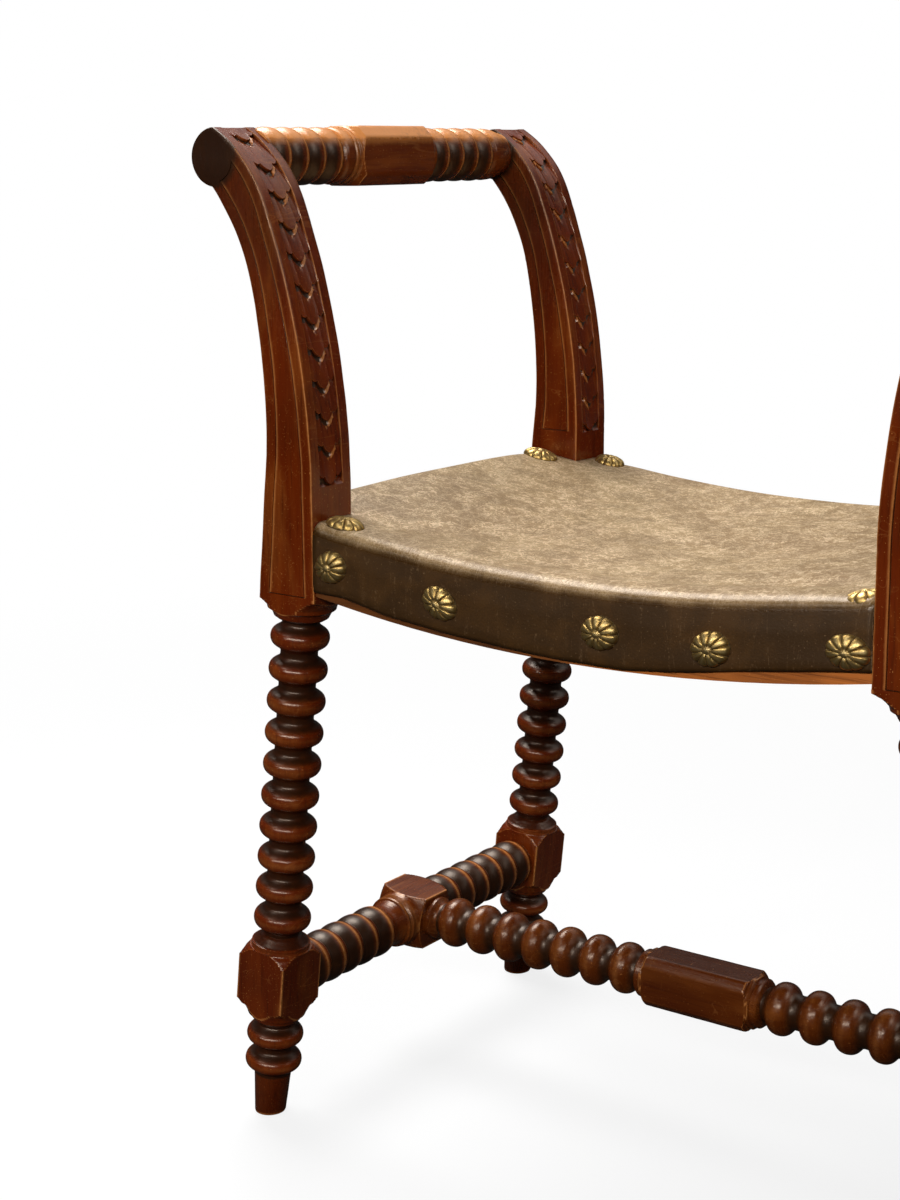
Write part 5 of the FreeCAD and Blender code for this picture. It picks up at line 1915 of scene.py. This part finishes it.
class BENCH_OT_nails(bpy.types.Operator):
    """Make the brass rosette nails that hold the leather"""

    bl_idname = "bench.nails"
    bl_label = "Rosette nails"

    def execute(self, context):
        sizes = context.scene.bench_brass
        inputs = {"Petals": sizes.petals, "Length": sizes.length, "Width": sizes.width,
            "Height": sizes.height, "Shank": SHANK, "Material": brass_material()}
        for name, spots in (("front", edge_nail_spots(-1)), ("back", edge_nail_spots(1)),
                ("left", end_nail_spots(-1)), ("right", end_nail_spots(1)),
                ("top", top_nail_spots())):
            mesh = grown(nail_points(name, spots), rosette_tree(), inputs)
            dress(new_object("rosette_nails_" + name, mesh), "brass", "nails_" + name)
        return {"FINISHED"}


CAMERA_PLACE = (0.7071, -1.278, 0.7405)
CAMERA_AZIMUTH = math.radians(36.51)
CAMERA_DROP = math.radians(12.456)
CAMERA_ROLL = math.radians(-0.497)
CAMERA_LENS = 60.71


def make_camera():
    """A camera that stands where the photograph was taken from."""
    data = bpy.data.cameras.new("camera")
    data.lens = CAMERA_LENS
    data.sensor_width = 36.0
    data.clip_start = 0.05
    data.clip_end = 50.0
    camera = new_object("camera", data)
    forward = Vector((-math.sin(CAMERA_AZIMUTH) * math.cos(CAMERA_DROP),
        math.cos(CAMERA_AZIMUTH) * math.cos(CAMERA_DROP), -math.sin(CAMERA_DROP)))
    right = forward.cross(Vector((0, 0, 1))).normalized()
    up = right.cross(forward)
    cosine, sine = math.cos(CAMERA_ROLL), math.sin(CAMERA_ROLL)
    basis = Matrix((right * cosine + up * sine, up * cosine - right * sine, -forward)).transposed()
    camera.matrix_world = Matrix.Translation(CAMERA_PLACE) @ basis.to_4x4()
    bpy.context.scene.camera = camera


def area_lamp(name, place, target, size, power):
    data = bpy.data.lights.new(name, "AREA")
    data.shape = "RECTANGLE"
    data.size, data.size_y = size
    data.energy = power
    lamp = new_object(name, data)
    lamp.location = place
    lamp.rotation_euler = (Vector(target) - Vector(place)).to_track_quat("-Z", "Y").to_euler()


WHITE = (1.0, 1.0, 1.0)
FLOOR_HALF, FLOOR_CELLS = 8.0, 16


def floor_material():
    """Pale floor that shows white to the camera and keeps a soft shadow."""
    material, tree, shader, place = new_material("Pale floor")
    mottle = cloudy(place, 3.0, 3.0)
    seen, glossy = background_rays(tree)
    across, along = parts_of(place)[:2]
    paper = (glossy * -1.0 + 1.0).most(along.ease(6.5, 8.0))
    paint = mixed(mottle * 0.15, (0.92, 0.92, 0.92), (0.86, 0.86, 0.86))
    coat(shader, mixed(seen * paper, (0.035, 0.033, 0.03), paint), mottle * 0.05 + 0.85,
        specular=0.0)
    far = (across ** 2.0 + along ** 2.0).math("SQRT").ease(0.5, 2.2)
    glow = add(tree, "ShaderNodeEmission", {"Color": WHITE, "Strength": 1.0})
    blend = add(tree, "ShaderNodeMixShader", {0: (far * 0.18 + 0.82) * seen * paper,
        1: shader.outputs[0], 2: glow.outputs[0]})
    output = next(node for node in tree.nodes if node.type == "OUTPUT_MATERIAL")
    tree.links.new(blend.outputs[0], output.inputs[0])
    return material


def background_rays(tree):
    """1 for the rays that show the background, and 1 for the glossy ones alone."""
    camera, through, glossy = (Field(tree, add(tree,
        "ShaderNodeLightPath").outputs["Is %s Ray" % kind]) for kind in
        ("Camera", "Transmission", "Glossy"))
    return camera.most(through).most(glossy), glossy


def room():
    """A world of plain light that shows white to the camera."""
    world = bpy.data.worlds.new("room")
    world.use_nodes = True
    tree = world.node_tree
    tree.nodes.clear()
    seen, glossy = background_rays(tree)
    _, back, up = parts_of(Field(tree, add(tree, "ShaderNodeTexCoord").outputs["Generated"]))
    seen = seen * (glossy * -1.0 + 1.0).most(back.ease(0.15, 0.6) * up.ease(0.38, 0.7))
    plain, white = (add(tree, "ShaderNodeBackground", {"Color": WHITE, "Strength": strength}) for
        strength in (bpy.context.scene.bench_stage.sky, 1.0))
    blend = add(tree, "ShaderNodeMixShader", {0: seen, 1: plain.outputs[0], 2: white.outputs[0]})
    add(tree, "ShaderNodeOutputWorld", {0: blend.outputs[0]})
    return world


class BENCH_OT_stage(bpy.types.Operator):
    """Make the pale floor, the lamps, the room light and the camera"""

    bl_idname = "bench.stage"
    bl_label = "Stage"

    def execute(self, context):
        settings = context.scene.bench_stage
        places = np.linspace(-FLOOR_HALF, FLOOR_HALF, FLOOR_CELLS + 1)
        row = FLOOR_CELLS + 1
        faces = [(here, here + row, here + row + 1, here + 1) for i in range(FLOOR_CELLS) for here
            in range(i * row, i * row + FLOOR_CELLS)]
        mesh = new_mesh("floor", [(x, y, 0.0) for x in places for y in places], faces)
        mesh.materials.append(floor_material())
        new_object("floor", mesh)
        area_lamp("overhead", (-1.1, 0.45, 2.35), (0, 0, 0.4), (1.2, 1.2), settings.key_power)
        area_lamp("front", (-0.9, -1.5, 2.3), (0, 0, 0.35), (0.5, 0.5), settings.fill_power)
        area_lamp("low", (0.45, -1.95, 1.3), (0, 0, 0.35), (2.4, 0.2), settings.window_power)
        area_lamp("side", (1.9, 0.6, 2.1), (0, 0, 0.4), (0.8, 1.4), settings.rim_power)
        context.scene.world = room()
        context.scene.view_settings.view_transform = "Standard"
        make_camera()
        return {"FINISHED"}


class BENCH_PT_pieces(bpy.types.Panel):
    """The bench, piece by piece"""

    bl_label = "Window bench"
    bl_idname = "BENCH_PT_pieces"
    bl_space_type = "VIEW_3D"
    bl_region_type = "UI"
    bl_category = "Bench"

    def draw(self, context):
        for operator in OPERATORS:
            self.layout.operator(operator.bl_idname)
        for name in GROUPS:
            settings = getattr(context.scene, name)
            box = self.layout.box()
            for key in settings.bl_rna.properties.keys():
                if key not in ("rna_type", "name"):
                    box.prop(settings, key)


GROUPS = {"bench_wood": WoodFinish, "bench_soft": SoftFinish, "bench_brass": BrassFinish,
    "bench_turning": TurningSizes, "bench_carving": CarvingSizes, "bench_stage": StageSettings}
OPERATORS = (BENCH_OT_leg_posts, BENCH_OT_arm_rails, BENCH_OT_side_stretchers,
    BENCH_OT_cross_stretcher, BENCH_OT_seat_frame, BENCH_OT_webbing, BENCH_OT_hessian,
    BENCH_OT_stuffing, BENCH_OT_leather, BENCH_OT_nails, BENCH_OT_stage)


def register():
    for group in GROUPS.values():
        bpy.utils.register_class(group)
    for name, group in GROUPS.items():
        setattr(bpy.types.Scene, name, PointerProperty(type=group))
    for operator in OPERATORS:
        bpy.utils.register_class(operator)
    bpy.utils.register_class(BENCH_PT_pieces)


def unregister():
    bpy.utils.unregister_class(BENCH_PT_pieces)
    for operator in reversed(OPERATORS):
        bpy.utils.unregister_class(operator)
    for name in GROUPS:
        delattr(bpy.types.Scene, name)
    for group in reversed(list(GROUPS.values())):
        bpy.utils.unregister_class(group)


def main():
    register()
    for operator in OPERATORS:
        group, name = operator.bl_idname.split(".")
        getattr(getattr(bpy.ops, group), name)()


if __name__ == "__main__":
    main()
